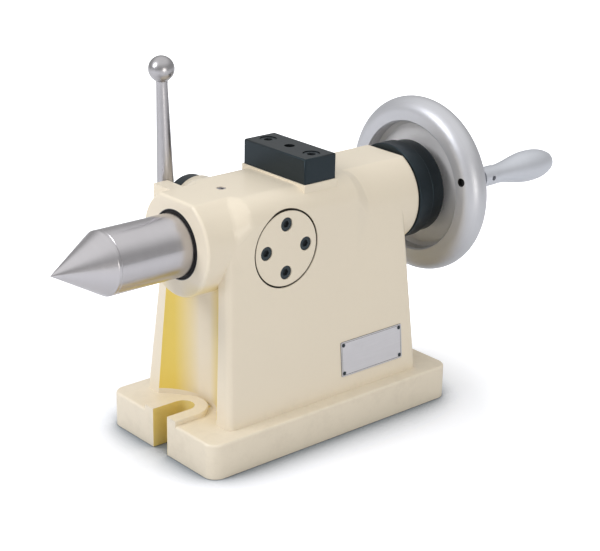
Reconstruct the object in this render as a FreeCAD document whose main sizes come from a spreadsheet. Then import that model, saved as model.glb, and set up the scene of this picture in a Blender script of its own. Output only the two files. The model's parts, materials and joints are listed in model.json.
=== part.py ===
import FreeCAD, Part
import math
import os
import Sketcher

# A manual tailstock. X runs along the quill axis towards the handwheel, Y points to the lever's side and
# Z up. The origin is on the bottom face of the base, in its middle, below the quill axis.

DRIVING_SIZES = {
    # base, with an open bolt slot at each end
    "base_length": 304,
    "base_width": 162,
    "base_thick": 35,
    "base_corner_radius": 13,
    "slot_width": 22,
    "slot_reach": 27,
    "land_height": 5,
    "land_margin": 13,
    "key_slot_width": 18,
    "key_slot_depth": 7,
    # column: two tapered walls between the base and the barrel
    "axis_height": 203,
    "column_foot_length": 241,
    "column_foot_width": 130.8,
    "column_top_length": 221.4,
    "column_corner_radius": 6,
    "scoop_radius": 57,
    "scoop_web": 98,
    "core_wall": 16,
    "core_top": 134,
    # barrel and mid body
    "barrel_radius": 50,
    "barrel_length": 265,
    "barrel_flat": 43.7,
    "barrel_front_edge": 3,
    "barrel_rear_edge": 6,
    "mid_width": 108,
    "mid_shoulder": 24,
    "mid_front": 83,
    "mid_rear": 42,
    "mid_blend": 22,
    "edge_round": 2.5,
    # quill and its centre
    "quill_radius": 30,
    "quill_length": 230,
    "quill_reach": 78.2,
    "quill_play": 0.04,
    "taper_radius": 15.6,
    "taper_length": 102,
    "taper_rate": 38.5,
    "bore_clearance": 1.5,
    "point_collar": 3,
    "point_length": 52,
    "keyway_width": 10,
    "keyway_depth": 5,
    "travel_in": 60,
    "travel_out": 30,
    "wiper_radius": 33,
    "wiper_thick": 6,
    # guide key and its cap on the near side
    "cap_radius": 36.2,
    "cap_thick": 8,
    "cap_gap": 1.8,
    "cap_sink": 0.4,
    "cap_forward": 45.2,
    "cap_drop": 7.9,
    "cap_screw_circle": 23.5,
    "cap_screw_radius": 4,
    "cap_head_radius": 6.5,
    "cap_spigot_radius": 10,
    "key_length": 16,
    # block on the seat pad
    "block_length": 38.4,
    "block_width": 90.4,
    "block_height": 24.4,
    "block_forward": -2.4,
    "seat_height": 45.6,
    "block_screw_pitch": 63,
    "block_screw_radius": 5,
    "block_screw_length": 30,
    "block_head_radius": 8,
    "lift_bore": 10.2,
    "lift_depth": 21,
    "oiler_forward": 79.4,
    "oiler_radius": 4.6,
    # nameplate on the near wall
    "plate_length": 81,
    "plate_height": 35.5,
    "plate_thick": 0.8,
    "plate_rear": 59.8,
    "plate_level": 68.5,
    # rear bearing flange, feed screw and nut
    "flange_radius": 49.3,
    "flange_thick": 18.8,
    "flange_screw_circle": 40,
    "flange_screw_radius": 3,
    "flange_screw_length": 24,
    "spigot_length": 16,
    "bearing_outer": 17.5,
    "bearing_inner": 10,
    "bearing_thick": 10,
    "collar_radius": 14.5,
    "collar_thick": 6,
    "screw_radius": 12,
    "nut_radius": 18,
    "nut_flange_radius": 28,
    "nut_flange_thick": 8,
    "nut_length": 40,
    "nut_screw_radius": 2.5,
    "nut_screw_length": 18,
    "dial_radius": 47.3,
    "dial_thick": 16.6,
    # handwheel and its handle
    "wheel_radius": 90.5,
    "rim_radius": 14.5,
    "web_thick": 8,
    "band_inner": 66,
    "rim_chamfer": 1.5,
    "hub_radius": 25,
    "hub_thick": 26,
    "wheel_seat_radius": 9,
    "handle_angle": 74,
    "handle_collar_radius": 10,
    "handle_collar_length": 18,
    "handle_hole_radius": 2.6,
    "handle_length": 82,
    "grip_radius": 15.9,
    "pin_radius": 6,
    "stud_radius": 4,
    # quill clamp on the far side
    "clamp_forward": 66.5,
    "clamp_rise": 9,
    "clamp_hub_radius": 29,
    "clamp_hub_thick": 16,
    "clamp_ear": 11,
    "boss_margin": 2,
    "lug_length": 16,
    "lug_lead": 50.5,
    "lug_rise": 42,
    "spindle_radius": 10,
    "shoe_radius": 13,
    "lever_offset": 30,
    "lever_neck": 13,
    "lever_rise": 137.6,
    "lever_foot_radius": 8,
    "lever_neck_radius": 5.3,
    "ball_radius": 12.3,
    "lever_lean": 1.6,
    # clearances
    "seat_gap": 0.02,
    "running_gap": 0.05,
    "free_gap": 0.3,
}


class Size:
    """A length that knows both its number and the sheet formula that gives it."""

    def __init__(self, number, formula):
        self.number = number
        self.formula = formula

    def join(self, sign, other, swapped=False):
        first, second = self, as_size(other)
        if swapped:
            first, second = second, first
        results = {
            "+": first.number + second.number,
            "-": first.number - second.number,
            "*": first.number * second.number,
            "/": first.number / second.number if second.number else 0.0,
        }
        return Size(results[sign], "({} {} {})".format(first.formula, sign, second.formula))

    def __add__(self, other):
        return self.join("+", other)

    def __radd__(self, other):
        return self.join("+", other, True)

    def __sub__(self, other):
        return self.join("-", other)

    def __rsub__(self, other):
        return self.join("-", other, True)

    def __mul__(self, other):
        return self.join("*", other)

    def __rmul__(self, other):
        return self.join("*", other, True)

    def __truediv__(self, other):
        return self.join("/", other)

    def __neg__(self):
        return Size(-self.number, "(0 - {})".format(self.formula))


def as_size(value):
    return value if isinstance(value, Size) else Size(float(value), repr(float(value)))


def root(size):
    return Size(math.sqrt(size.number), "sqrt({})".format(size.formula))


def sine(angle):
    return Size(math.sin(math.radians(angle.number)), "sin({})".format(angle.formula))


def cosine(angle):
    return Size(math.cos(math.radians(angle.number)), "cos({})".format(angle.formula))


doc = FreeCAD.newDocument("Tailstock")
sheet = doc.addObject("Spreadsheet::Sheet", "Sizes")
for row, (name, number) in enumerate(DRIVING_SIZES.items(), start=1):
    sheet.set("A{}".format(row), name)
    sheet.set("B{}".format(row), str(number))
    sheet.setAlias("B{}".format(row), name)
doc.recompute()


class SheetSizes:
    """Gives each cell of the sheet by its alias."""

    def __getattr__(self, name):
        return Size(float(DRIVING_SIZES[name]), "Sizes." + name)


s = SheetSizes()

# Places that several pieces share, each worked out from the sheet.
AXIS = s.axis_height
BARREL_FRONT = -s.barrel_length / 2
BARREL_REAR = s.barrel_length / 2
QUILL_FACE = BARREL_FRONT - s.quill_reach
QUILL_REAR = QUILL_FACE + s.quill_length
CAP_X = -s.cap_forward
CAP_Z = AXIS - s.cap_drop
CAP_FACE = -s.mid_width / 2 + s.cap_sink
CAP_SEAT = CAP_FACE + s.cap_thick
BLOCK_X = -s.block_forward
BLOCK_SEAT = AXIS + s.seat_height
FLANGE_REAR = BARREL_REAR + s.flange_thick
COLLAR_FRONT = FLANGE_REAR - 3 - s.bearing_thick - s.collar_thick
COLLAR_REAR = COLLAR_FRONT + s.collar_thick
DIAL_FRONT = FLANGE_REAR + 0.5
DIAL_REAR = DIAL_FRONT + s.dial_thick
HUB_FRONT = DIAL_REAR + s.seat_gap
HUB_REAR = HUB_FRONT + s.hub_thick
RIM_CIRCLE = s.wheel_radius - s.rim_radius
RIM_X = HUB_FRONT + 9.5
CLAMP_X = -s.clamp_forward
CLAMP_Z = AXIS + s.clamp_rise
BOSS_FACE = s.mid_width / 2
SHANK_END = QUILL_FACE + s.taper_length - 6
SCREW_FRONT = SHANK_END + s.travel_in + 2
SPOT_FACE = RIM_X + s.rim_radius - 2
HANDLE_Y = -RIM_CIRCLE * sine(s.handle_angle)
HANDLE_Z = AXIS + RIM_CIRCLE * cosine(s.handle_angle)
PIN_END = SPOT_FACE + s.handle_collar_length + s.handle_length
LEVER_Y = BOSS_FACE + s.free_gap + s.clamp_hub_thick / 2
WALL_SLOPE = (s.column_foot_width / 2 - s.barrel_radius) / (AXIS - s.base_thick)


def bind(thing, name, value):
    """Ties one property to the sheet, or sets it where it is a bare number."""
    if isinstance(value, Size):
        thing.setExpression(name, value.formula)
    else:
        setattr(thing, name, value)


def place(thing, x=0, y=0, z=0):
    for axis, value in zip("xyz", (x, y, z)):
        if isinstance(value, Size):
            thing.setExpression("Placement.Base." + axis, value.formula)
        elif value:
            thing.setExpression("Placement.Base." + axis, repr(float(value)))


def new_body(label, x=0, y=0, z=0):
    body = doc.addObject("PartDesign::Body", label)
    body.Label = label
    place(body, x, y, z)
    return body


def plane_of(body, role):
    return next(item for item in body.Origin.OriginFeatures if item.Role == role)


def new_sketch(body, name, role, lift=0, shift_u=0, shift_v=0):
    """A sketch on one of the body's own planes; lift moves it along the plane's normal."""
    sketch = body.newObject("Sketcher::SketchObject", name)
    sketch.AttachmentSupport = [(plane_of(body, role), "")]
    sketch.MapMode = "FlatFace"
    for axis, value in zip("xyz", (shift_u, shift_v, lift)):
        if isinstance(value, Size):
            sketch.setExpression("AttachmentOffset.Base." + axis, value.formula)
        elif value:
            sketch.setExpression("AttachmentOffset.Base." + axis, repr(float(value)))
    return sketch


def hold_point(sketch, piece, end, u, v):
    """Holds one point of a line or the centre of a circle by its two coordinates."""
    for kind, value, axis_line in (("DistanceX", u, -2), ("DistanceY", v, -1)):
        size = as_size(value)
        if not isinstance(value, Size) and value == 0:
            sketch.addConstraint(Sketcher.Constraint("PointOnObject", piece, end, axis_line))
            continue
        index = sketch.addConstraint(Sketcher.Constraint(kind, -1, 1, piece, end, size.number))
        if isinstance(value, Size):
            sketch.setExpression("Constraints[{}]".format(index), size.formula)


def add_outline(sketch, corners):
    """A closed outline of straight lines; every corner is held by its coordinates."""
    points = [FreeCAD.Vector(as_size(u).number, as_size(v).number, 0) for u, v in corners]
    following = points[1:] + points[:1]
    lines = [
        sketch.addGeometry(Part.LineSegment(start, end), False)
        for start, end in zip(points, following)
    ]
    for line, next_line in zip(lines, lines[1:] + lines[:1]):
        sketch.addConstraint(Sketcher.Constraint("Coincident", line, 2, next_line, 1))
    for line, (u, v) in zip(lines, corners):
        hold_point(sketch, line, 1, u, v)


def add_circle(sketch, u, v, radius):
    size = as_size(radius)
    centre = FreeCAD.Vector(as_size(u).number, as_size(v).number, 0)
    circle = sketch.addGeometry(Part.Circle(centre, FreeCAD.Vector(0, 0, 1), size.number), False)
    index = sketch.addConstraint(Sketcher.Constraint("Radius", circle, size.number))
    if isinstance(radius, Size):
        sketch.setExpression("Constraints[{}]".format(index), size.formula)
    hold_point(sketch, circle, 3, u, v)


def rectangle(u0, u1, v0, v1):
    return [(u0, v0), (u1, v0), (u1, v1), (u0, v1)]


def extrude(body, kind, name, sketch, length, backwards=False, both=False):
    """A Pad or a Pocket of the sketch."""
    feature = body.newObject("PartDesign::" + kind, name)
    feature.Profile = sketch
    bind(feature, "Length", length)
    feature.Reversed = backwards
    if both:
        feature.SideType = "Symmetric"
    sketch.Visibility = False
    return feature


def loft(body, kind, name, sections):
    feature = body.newObject("PartDesign::" + kind, name)
    feature.Profile = sections[0]
    feature.Sections = sections[1:]
    feature.Ruled = True
    return feature


def mirror_lengthwise(body, name, features):
    """Repeats features at the other end of the base."""
    mirrored = body.newObject("PartDesign::Mirrored", name)
    mirrored.Originals = features
    mirrored.MirrorPlane = (plane_of(body, "YZ_Plane"), [""])
    body.Tip = mirrored
    return mirrored


def edges_where(feature, test):
    doc.recompute()
    edges = feature.Shape.Edges
    return ["Edge{}".format(index) for index, edge in enumerate(edges, start=1) if test(edge)]


def round_edges(body, name, base, test, radius, kind="Fillet"):
    """Rounds or chamfers the edges of the base feature that pass the test."""
    feature = body.newObject("PartDesign::" + kind, name)
    feature.Base = (base, edges_where(base, test))
    bind(feature, "Radius" if kind == "Fillet" else "Size", radius)
    return feature


def turned(label, corners, x=0, y=0, z=AXIS):
    """A piece turned about a line along X: corners are (distance along X, radius)."""
    body = new_body(label, x, y, z)
    sketch = new_sketch(body, label + "_profile", "XZ_Plane")
    add_outline(sketch, corners)
    revolution = body.newObject("PartDesign::Revolution", label + "_turned")
    revolution.Profile = sketch
    revolution.ReferenceAxis = (sketch, ["H_Axis"])
    revolution.Angle = 360
    return body, revolution


def is_vertical(edge):
    ends = edge.Vertexes
    if len(ends) != 2:
        return False
    return abs(ends[0].X - ends[1].X) < 1e-6 and abs(ends[0].Y - ends[1].Y) < 1e-6


def near(number, size, reach=0.01):
    return abs(number - as_size(size).number) < reach


def all_points(edge, test):
    return all(test(point) for point in edge.discretize(5))


# Body casting
casting = new_body("body_casting")

base_sketch = new_sketch(casting, "base_outline", "XY_Plane")
add_outline(
    base_sketch,
    rectangle(-s.base_length / 2, s.base_length / 2, -s.base_width / 2, s.base_width / 2),
)
base_pad = extrude(casting, "Pad", "base_pad", base_sketch, s.base_thick)
base_round = round_edges(casting, "base_corners", base_pad, is_vertical, s.base_corner_radius)
base_top = round_edges(casting, "base_top_edges", base_round,
                       lambda edge: all_points(edge, lambda point: near(point.z, s.base_thick)),
                       s.edge_round)


def column_section(name, level, length, width):
    sketch = new_sketch(casting, name, "XY_Plane", level)
    add_outline(sketch, rectangle(-length / 2, length / 2, -width / 2, width / 2))
    return sketch


column = loft(casting, "AdditiveLoft", "column", [
    column_section("column_foot", s.base_thick, s.column_foot_length, s.column_foot_width),
    column_section("column_top", AXIS, s.column_top_length, 2 * s.barrel_radius),
])


def is_column_corner(edge):
    ends = edge.Vertexes
    if len(ends) != 2:
        return False
    low, high = sorted(point.Z for point in ends)
    return near(low, s.base_thick) and near(high, AXIS)


column_round = round_edges(casting, "column_corners", column, is_column_corner, s.column_corner_radius)


# The scoop that frees the bolt: its mouth narrows by itself as the column's front leans back.
scoop_sketch = new_sketch(casting, "scoop_outline", "XY_Plane", s.base_thick)
add_circle(scoop_sketch, -s.scoop_web - s.scoop_radius, 0, s.scoop_radius)
scoop = extrude(casting, "Pocket", "front_scoop", scoop_sketch, AXIS - s.base_thick + 1, True)

land_sketch = new_sketch(casting, "land_outline", "XY_Plane", s.base_thick / 2)
SLOT_CENTRE = -s.base_length / 2 + s.slot_reach
LAND_HALF = s.slot_width / 2 + s.land_margin
add_outline(land_sketch, rectangle(-s.base_length / 2, SLOT_CENTRE, -LAND_HALF, LAND_HALF))
land = extrude(casting, "Pad", "bolt_land", land_sketch, s.base_thick / 2 + s.land_height)
land_end_sketch = new_sketch(casting, "land_end_outline", "XY_Plane", s.base_thick / 2)
add_circle(land_end_sketch, SLOT_CENTRE, 0, LAND_HALF)
land_end = extrude(casting, "Pad", "bolt_land_end", land_end_sketch, s.base_thick / 2 + s.land_height)

slot_sketch = new_sketch(casting, "slot_outline", "XY_Plane", -1)
add_outline(
    slot_sketch,
    rectangle(-s.base_length / 2 - 1, SLOT_CENTRE, -s.slot_width / 2, s.slot_width / 2),
)
slot = extrude(casting, "Pocket", "bolt_slot", slot_sketch, s.base_thick + s.land_height + 2, True)
slot_end_sketch = new_sketch(casting, "slot_end_outline", "XY_Plane", -1)
add_circle(slot_end_sketch, SLOT_CENTRE, 0, s.slot_width / 2)
slot_end = extrude(casting, "Pocket", "bolt_slot_end", slot_end_sketch,
                   s.base_thick + s.land_height + 2, True)
both_ends = mirror_lengthwise(casting, "rear_end", [scoop, land, land_end, slot, slot_end])
LAND_TOP = s.base_thick + s.land_height


def is_land_rim(edge):
    """The land's outer edge on top, not the slot's."""
    reach = LAND_HALF.number - 0.1
    end = abs(SLOT_CENTRE.number)
    return all_points(edge, lambda point: near(point.z, LAND_TOP) and (
        abs(point.y) > reach or math.hypot(abs(point.x) - end, point.y) > reach
        and abs(point.x) < end))


round_edges(casting, "land_edges", both_ends, is_land_rim, s.edge_round * 0.6)

barrel_sketch = new_sketch(casting, "barrel_outline", "YZ_Plane")
add_circle(barrel_sketch, 0, AXIS, s.barrel_radius)
barrel = extrude(casting, "Pad", "barrel", barrel_sketch, s.barrel_length, both=True)

flat_sketch = new_sketch(casting, "flat_outline", "YZ_Plane")
add_outline(flat_sketch, rectangle(
    -s.barrel_radius, s.barrel_radius, AXIS + s.barrel_flat, AXIS + s.barrel_radius + 1))
barrel_top = extrude(casting, "Pocket", "barrel_flat", flat_sketch, s.barrel_length + 2, both=True)


def is_rim(edge, x):
    return all_points(edge, lambda point: near(point.x, x)
                      and math.hypot(point.y, point.z - AXIS.number) > s.barrel_flat.number - 1)


front_rim = round_edges(casting, "front_rim", barrel_top,
                        lambda edge: is_rim(edge, BARREL_FRONT), s.barrel_front_edge)
rear_rim = round_edges(casting, "rear_rim", front_rim,
                       lambda edge: is_rim(edge, BARREL_REAR), s.barrel_rear_edge)

# The mid body is wider than the barrel; its sides run down until they meet the tapered walls. At both ends
# it narrows smoothly to the barrel.
MID_HALF = s.mid_width / 2
MID_FOOT = AXIS - (MID_HALF - s.barrel_radius) / WALL_SLOPE - 2


def add_shouldered(sketch, half, shoulder):
    """A flat-topped section with round shoulders, between the walls' height and the barrel's flat."""
    top = AXIS + s.barrel_flat
    numbers = [as_size(size).number for size in (half, shoulder, top, MID_FOOT)]
    side, round_radius, crown, foot = numbers
    corner = side - round_radius
    low = crown - round_radius

    def line(u0, v0, u1, v1):
        ends = (FreeCAD.Vector(u0, v0, 0), FreeCAD.Vector(u1, v1, 0))
        return sketch.addGeometry(Part.LineSegment(*ends), False)

    def arc(u, first, last):
        circle = Part.Circle(FreeCAD.Vector(u, low, 0), FreeCAD.Vector(0, 0, 1), round_radius)
        return sketch.addGeometry(Part.ArcOfCircle(circle, math.radians(first), math.radians(last)), False)

    floor = line(-side, foot, side, foot)
    right = line(side, foot, side, low)
    right_arc = arc(corner, 0, 90)
    roof = line(corner, crown, -corner, crown)
    left_arc = arc(-corner, 90, 180)
    left = line(-side, low, -side, foot)
    joints = [(floor, 2, right, 1), (right, 2, right_arc, 1), (right_arc, 2, roof, 1),
              (roof, 2, left_arc, 1), (left_arc, 2, left, 1), (left, 2, floor, 1)]
    for joint in joints:
        sketch.addConstraint(Sketcher.Constraint("Coincident", *joint))
    hold_point(sketch, floor, 1, -half, MID_FOOT)
    hold_point(sketch, floor, 2, half, MID_FOOT)
    hold_point(sketch, right_arc, 3, half - shoulder, top - shoulder)
    hold_point(sketch, left_arc, 3, shoulder - half, top - shoulder)
    hold_point(sketch, right, 2, half, top - shoulder)
    hold_point(sketch, left, 1, -half, top - shoulder)
    for end, size in ((1, half - shoulder), (2, shoulder - half)):
        index = sketch.addConstraint(Sketcher.Constraint("DistanceX", -1, 1, roof, end, size.number))
        sketch.setExpression("Constraints[{}]".format(index), size.formula)


def mid_section(name, along, half, shoulder):
    sketch = new_sketch(casting, name, "YZ_Plane", along)
    add_shouldered(sketch, half, shoulder)
    return sketch


mid_sketch = mid_section("mid_outline", -s.mid_front, MID_HALF, s.mid_shoulder)
mid_body = extrude(casting, "Pad", "mid_body", mid_sketch, s.mid_front + s.mid_rear)
BLEND_HALF = s.barrel_radius - 0.2
BLEND_SHOULDER = s.barrel_flat
loft(casting, "AdditiveLoft", "mid_front_blend", [
    mid_section("front_blend_start", -s.mid_front - s.mid_blend, BLEND_HALF, BLEND_SHOULDER),
    mid_section("front_blend_end", -s.mid_front, MID_HALF, s.mid_shoulder),
])
loft(casting, "AdditiveLoft", "mid_rear_blend", [
    mid_section("rear_blend_start", s.mid_rear, MID_HALF, s.mid_shoulder),
    mid_section("rear_blend_end", s.mid_rear + s.mid_blend, BLEND_HALF, BLEND_SHOULDER),
])

pad_sketch = new_sketch(casting, "seat_pad_outline", "XY_Plane", AXIS)
add_outline(pad_sketch, rectangle(
    BLOCK_X - s.block_length / 2 - 1, BLOCK_X + s.block_length / 2 + 1,
    -s.block_width / 2 - 1, s.block_width / 2 + 1))
seat_pad = extrude(casting, "Pad", "seat_pad", pad_sketch, s.seat_height)

boss_sketch = new_sketch(casting, "lever_boss_outline", "XZ_Plane")
add_circle(boss_sketch, CLAMP_X, CLAMP_Z, s.clamp_hub_radius + s.boss_margin)
lever_boss = extrude(casting, "Pad", "lever_boss", boss_sketch, BOSS_FACE, True)

# A cast lug in front of the lever's foot
LUG_FRONT = CLAMP_X - s.lug_lead
lug_sketch = new_sketch(casting, "lug_outline", "XZ_Plane")
add_outline(lug_sketch, rectangle(LUG_FRONT, LUG_FRONT + s.lug_length, AXIS, AXIS + s.lug_rise))
lug = extrude(casting, "Pad", "far_lug", lug_sketch, BOSS_FACE, True)

# Machined holes
bore_sketch = new_sketch(casting, "quill_bore_outline", "YZ_Plane")
add_circle(bore_sketch, 0, AXIS, s.quill_radius + s.quill_play)
quill_bore = extrude(casting, "Pocket", "quill_bore", bore_sketch, s.barrel_length + 2, both=True)

wiper_sketch = new_sketch(casting, "wiper_seat_outline", "YZ_Plane", BARREL_FRONT - 1)
add_circle(wiper_sketch, 0, AXIS, s.wiper_radius + s.seat_gap)
wiper_seat = extrude(casting, "Pocket", "wiper_seat", wiper_sketch, s.wiper_thick + 1, True)

cap_sketch = new_sketch(casting, "cap_seat_outline", "XZ_Plane", MID_HALF + 5)
add_circle(cap_sketch, CAP_X, CAP_Z, s.cap_radius + s.cap_gap)
cap_seat = extrude(casting, "Pocket", "cap_seat", cap_sketch, MID_HALF + 5 + CAP_SEAT)

key_bore_sketch = new_sketch(casting, "key_bore_outline", "XZ_Plane", -CAP_SEAT + 1)
add_circle(key_bore_sketch, CAP_X, AXIS, s.cap_spigot_radius + s.seat_gap)
key_bore = extrude(casting, "Pocket", "key_bore", key_bore_sketch, -CAP_SEAT + 1 - 20)

cap_hole_sketch = new_sketch(casting, "cap_hole_outline", "XZ_Plane", -CAP_SEAT + 1)
CAP_SCREW_SPOTS = [(0, 1), (1, 0), (0, -1), (-1, 0)]
for across, up in CAP_SCREW_SPOTS:
    add_circle(cap_hole_sketch, CAP_X + across * s.cap_screw_circle, CAP_Z + up * s.cap_screw_circle,
               s.cap_screw_radius + s.seat_gap)
cap_holes = extrude(casting, "Pocket", "cap_screw_holes", cap_hole_sketch, 10)

block_hole_sketch = new_sketch(casting, "block_hole_outline", "XY_Plane", BLOCK_SEAT + 1)
for side in (-1, 1):
    add_circle(block_hole_sketch, BLOCK_X, side * s.block_screw_pitch / 2,
               s.block_screw_radius + s.seat_gap)
HEAD_SINK = 11
THREAD_DEPTH = s.block_screw_length + HEAD_SINK - s.block_height
block_holes = extrude(casting, "Pocket", "block_screw_holes", block_hole_sketch, THREAD_DEPTH + 4)

oiler_sketch = new_sketch(casting, "oiler_outline", "XY_Plane", AXIS + s.barrel_flat + 1)
add_circle(oiler_sketch, -s.oiler_forward, 0, s.oiler_radius)
oiler_hole = extrude(casting, "Pocket", "oiler_hole", oiler_sketch, 6.6)
oil_way_sketch = new_sketch(casting, "oil_way_outline", "XY_Plane", AXIS + s.barrel_flat + 1)
add_circle(oil_way_sketch, -s.oiler_forward, 0, 1.5)
oil_way = extrude(casting, "Pocket", "oil_way", oil_way_sketch, s.barrel_flat - 20)

shoe_sketch = new_sketch(casting, "shoe_bore_outline", "XZ_Plane", -BOSS_FACE - 1)
add_circle(shoe_sketch, CLAMP_X, CLAMP_Z, s.shoe_radius + s.seat_gap)
shoe_bore = extrude(casting, "Pocket", "shoe_bore", shoe_sketch, BOSS_FACE + 1 - 15, True)

flange_hole_sketch = new_sketch(casting, "flange_hole_outline", "YZ_Plane", BARREL_REAR + 1)
FLANGE_STEP = s.flange_screw_circle * math.sqrt(0.5)
FLANGE_SPOTS = [(side * FLANGE_STEP, up * FLANGE_STEP) for side in (-1, 1) for up in (-1, 1)]
for side, up in FLANGE_SPOTS:
    add_circle(flange_hole_sketch, side, AXIS + up, s.flange_screw_radius + s.seat_gap)
flange_holes = extrude(casting, "Pocket", "flange_screw_holes", flange_hole_sketch,
                       s.flange_screw_length + 7 - s.flange_thick + 5)

# Underside: key slot and the core between the walls
key_slot_sketch = new_sketch(casting, "key_slot_outline", "XY_Plane", -1)
add_outline(key_slot_sketch, rectangle(
    -s.base_length / 2 - 1, s.base_length / 2 + 1, -s.key_slot_width / 2, s.key_slot_width / 2))
key_slot = extrude(casting, "Pocket", "key_slot", key_slot_sketch, s.key_slot_depth + 1, True)


def core_section(name, level):
    """The core keeps the same wall inside the tapered column."""
    share = (level - s.base_thick) / (AXIS - s.base_thick)
    half = s.column_foot_width / 2 - (s.column_foot_width / 2 - s.barrel_radius) * share - s.core_wall
    sketch = new_sketch(casting, name, "XY_Plane", level)
    reach = s.scoop_web - s.core_wall
    add_outline(sketch, rectangle(-reach, reach, -half, half))
    return sketch


core = loft(casting, "SubtractiveLoft", "core", [
    core_section("core_foot", as_size(-1)),
    core_section("core_crown", s.core_top),
])
casting.Tip = core


# Fasteners
def socket_screw(name, radius, length, head_radius, head_height, socket, turn, x, y, z):
    """A cap screw; its head's underside lies at the given place and its head points along turn."""
    shank = doc.addObject("Part::Cylinder", name + "_shank")
    bind(shank, "Radius", radius)
    bind(shank, "Height", length)
    place(shank, 0, 0, -as_size(length))
    cap = doc.addObject("Part::Cylinder", name + "_head")
    bind(cap, "Radius", head_radius)
    bind(cap, "Height", head_height)
    body = doc.addObject("Part::Fuse", name + "_blank")
    body.Base = shank
    body.Tool = cap
    key = doc.addObject("Part::Prism", name + "_socket")
    key.Polygon = 6
    bind(key, "Circumradius", socket)
    bind(key, "Height", head_height)
    place(key, 0, 0, as_size(head_height) * 0.4)
    screw = doc.addObject("Part::Cut", name)
    screw.Base = body
    screw.Tool = key
    screw.Placement.Rotation = HEAD_TURNS[turn]
    place(screw, x, y, z)
    return screw


HEAD_TURNS = {
    "up": FreeCAD.Rotation(FreeCAD.Vector(1, 0, 0), 0),
    "near": FreeCAD.Rotation(FreeCAD.Vector(1, 0, 0), 90),
    "far": FreeCAD.Rotation(FreeCAD.Vector(1, 0, 0), -90),
    "rear": FreeCAD.Rotation(FreeCAD.Vector(0, 1, 0), 90),
    "down": FreeCAD.Rotation(FreeCAD.Vector(1, 0, 0), 180),
}


def group(label, members):
    """Like fasteners kept together as separate solids."""
    bundle = doc.addObject("Part::Compound", label)
    bundle.Label = label
    bundle.Links = members
    return bundle


def drill(body, name, role, lift, spots, radius, depth, backwards=False, shift_v=0):
    """Round holes at the given spots, cut from a plane that lies at the lift."""
    sketch = new_sketch(body, name + "_spots", role, lift, 0, shift_v)
    for u, v in spots:
        add_circle(sketch, u, v, radius)
    return extrude(body, "Pocket", name, sketch, depth, backwards)


# Quill, centre and nut
NUT_SCREW_CIRCLE = (s.nut_radius + s.quill_radius) / 2 - 0.8
NUT_SPOTS = [(0, 1), (0.866, -0.5), (-0.866, -0.5)]
QUILL_BORE = s.screw_radius + s.bore_clearance
TAPER_END = s.taper_radius - s.taper_length / s.taper_rate

quill, _ = turned("quill", [
    (QUILL_FACE, s.taper_radius),
    (QUILL_FACE, s.quill_radius - 0.6),
    (QUILL_FACE + 0.6, s.quill_radius),
    (QUILL_REAR - 1, s.quill_radius),
    (QUILL_REAR, s.quill_radius - 1),
    (QUILL_REAR, s.nut_radius),
    (QUILL_REAR - s.nut_length, s.nut_radius),
    (QUILL_REAR - s.nut_length, QUILL_BORE),
    (QUILL_FACE + s.taper_length, QUILL_BORE),
    (QUILL_FACE + s.taper_length, TAPER_END),
])
keyway_sketch = new_sketch(quill, "keyway_outline", "XZ_Plane", s.quill_radius + 1)
add_outline(keyway_sketch, rectangle(
    CAP_X - s.key_length / 2 - s.travel_in - 1, CAP_X + s.key_length / 2 + s.travel_out + 1,
    -s.keyway_width / 2, s.keyway_width / 2))
extrude(quill, "Pocket", "keyway", keyway_sketch, s.keyway_depth + 1)
nut_spots = [(u * NUT_SCREW_CIRCLE, v * NUT_SCREW_CIRCLE) for u, v in NUT_SPOTS]
NUT_THREAD = s.nut_screw_radius + s.seat_gap
drill(quill, "nut_screw_threads", "YZ_Plane", QUILL_REAR + 1, nut_spots, NUT_THREAD,
      s.nut_screw_length - s.nut_flange_thick + 3)

centre, _ = turned("centre", [
    (QUILL_FACE - s.point_collar - s.point_length, 0),
    (QUILL_FACE - s.point_collar, s.quill_radius),
    (QUILL_FACE - s.seat_gap, s.quill_radius),
    (QUILL_FACE - s.seat_gap, s.taper_radius - s.seat_gap),
    (SHANK_END, s.taper_radius - (s.taper_length - 6) / s.taper_rate - s.seat_gap),
    (SHANK_END, 0),
])

feed_nut, _ = turned("feed_nut", [
    (QUILL_REAR - s.nut_length + s.free_gap, s.screw_radius + s.running_gap),
    (QUILL_REAR - s.nut_length + s.free_gap, s.nut_radius - s.seat_gap),
    (QUILL_REAR + s.seat_gap, s.nut_radius - s.seat_gap),
    (QUILL_REAR + s.seat_gap, s.nut_flange_radius),
    (QUILL_REAR + s.nut_flange_thick, s.nut_flange_radius),
    (QUILL_REAR + s.nut_flange_thick, s.screw_radius + s.running_gap),
])
drill(feed_nut, "nut_screw_holes", "YZ_Plane", QUILL_REAR + s.nut_flange_thick + 1, nut_spots,
      NUT_THREAD, s.nut_flange_thick + 2)

group("feed_nut_screws", [
    socket_screw("nut_screw_{}".format(index), s.nut_screw_radius, s.nut_screw_length,
                 1.68 * s.nut_screw_radius, 2 * s.nut_screw_radius, 2.2, "rear",
                 QUILL_REAR + s.nut_flange_thick + s.seat_gap, u, AXIS + v)
    for index, (u, v) in enumerate(nut_spots, start=1)
])

turned("quill_wiper", [
    (BARREL_FRONT + s.free_gap, s.quill_radius + s.running_gap),
    (BARREL_FRONT + s.free_gap, s.wiper_radius),
    (BARREL_FRONT + s.wiper_thick - s.seat_gap, s.wiper_radius),
    (BARREL_FRONT + s.wiper_thick - s.seat_gap, s.quill_radius + s.running_gap),
])

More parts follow.
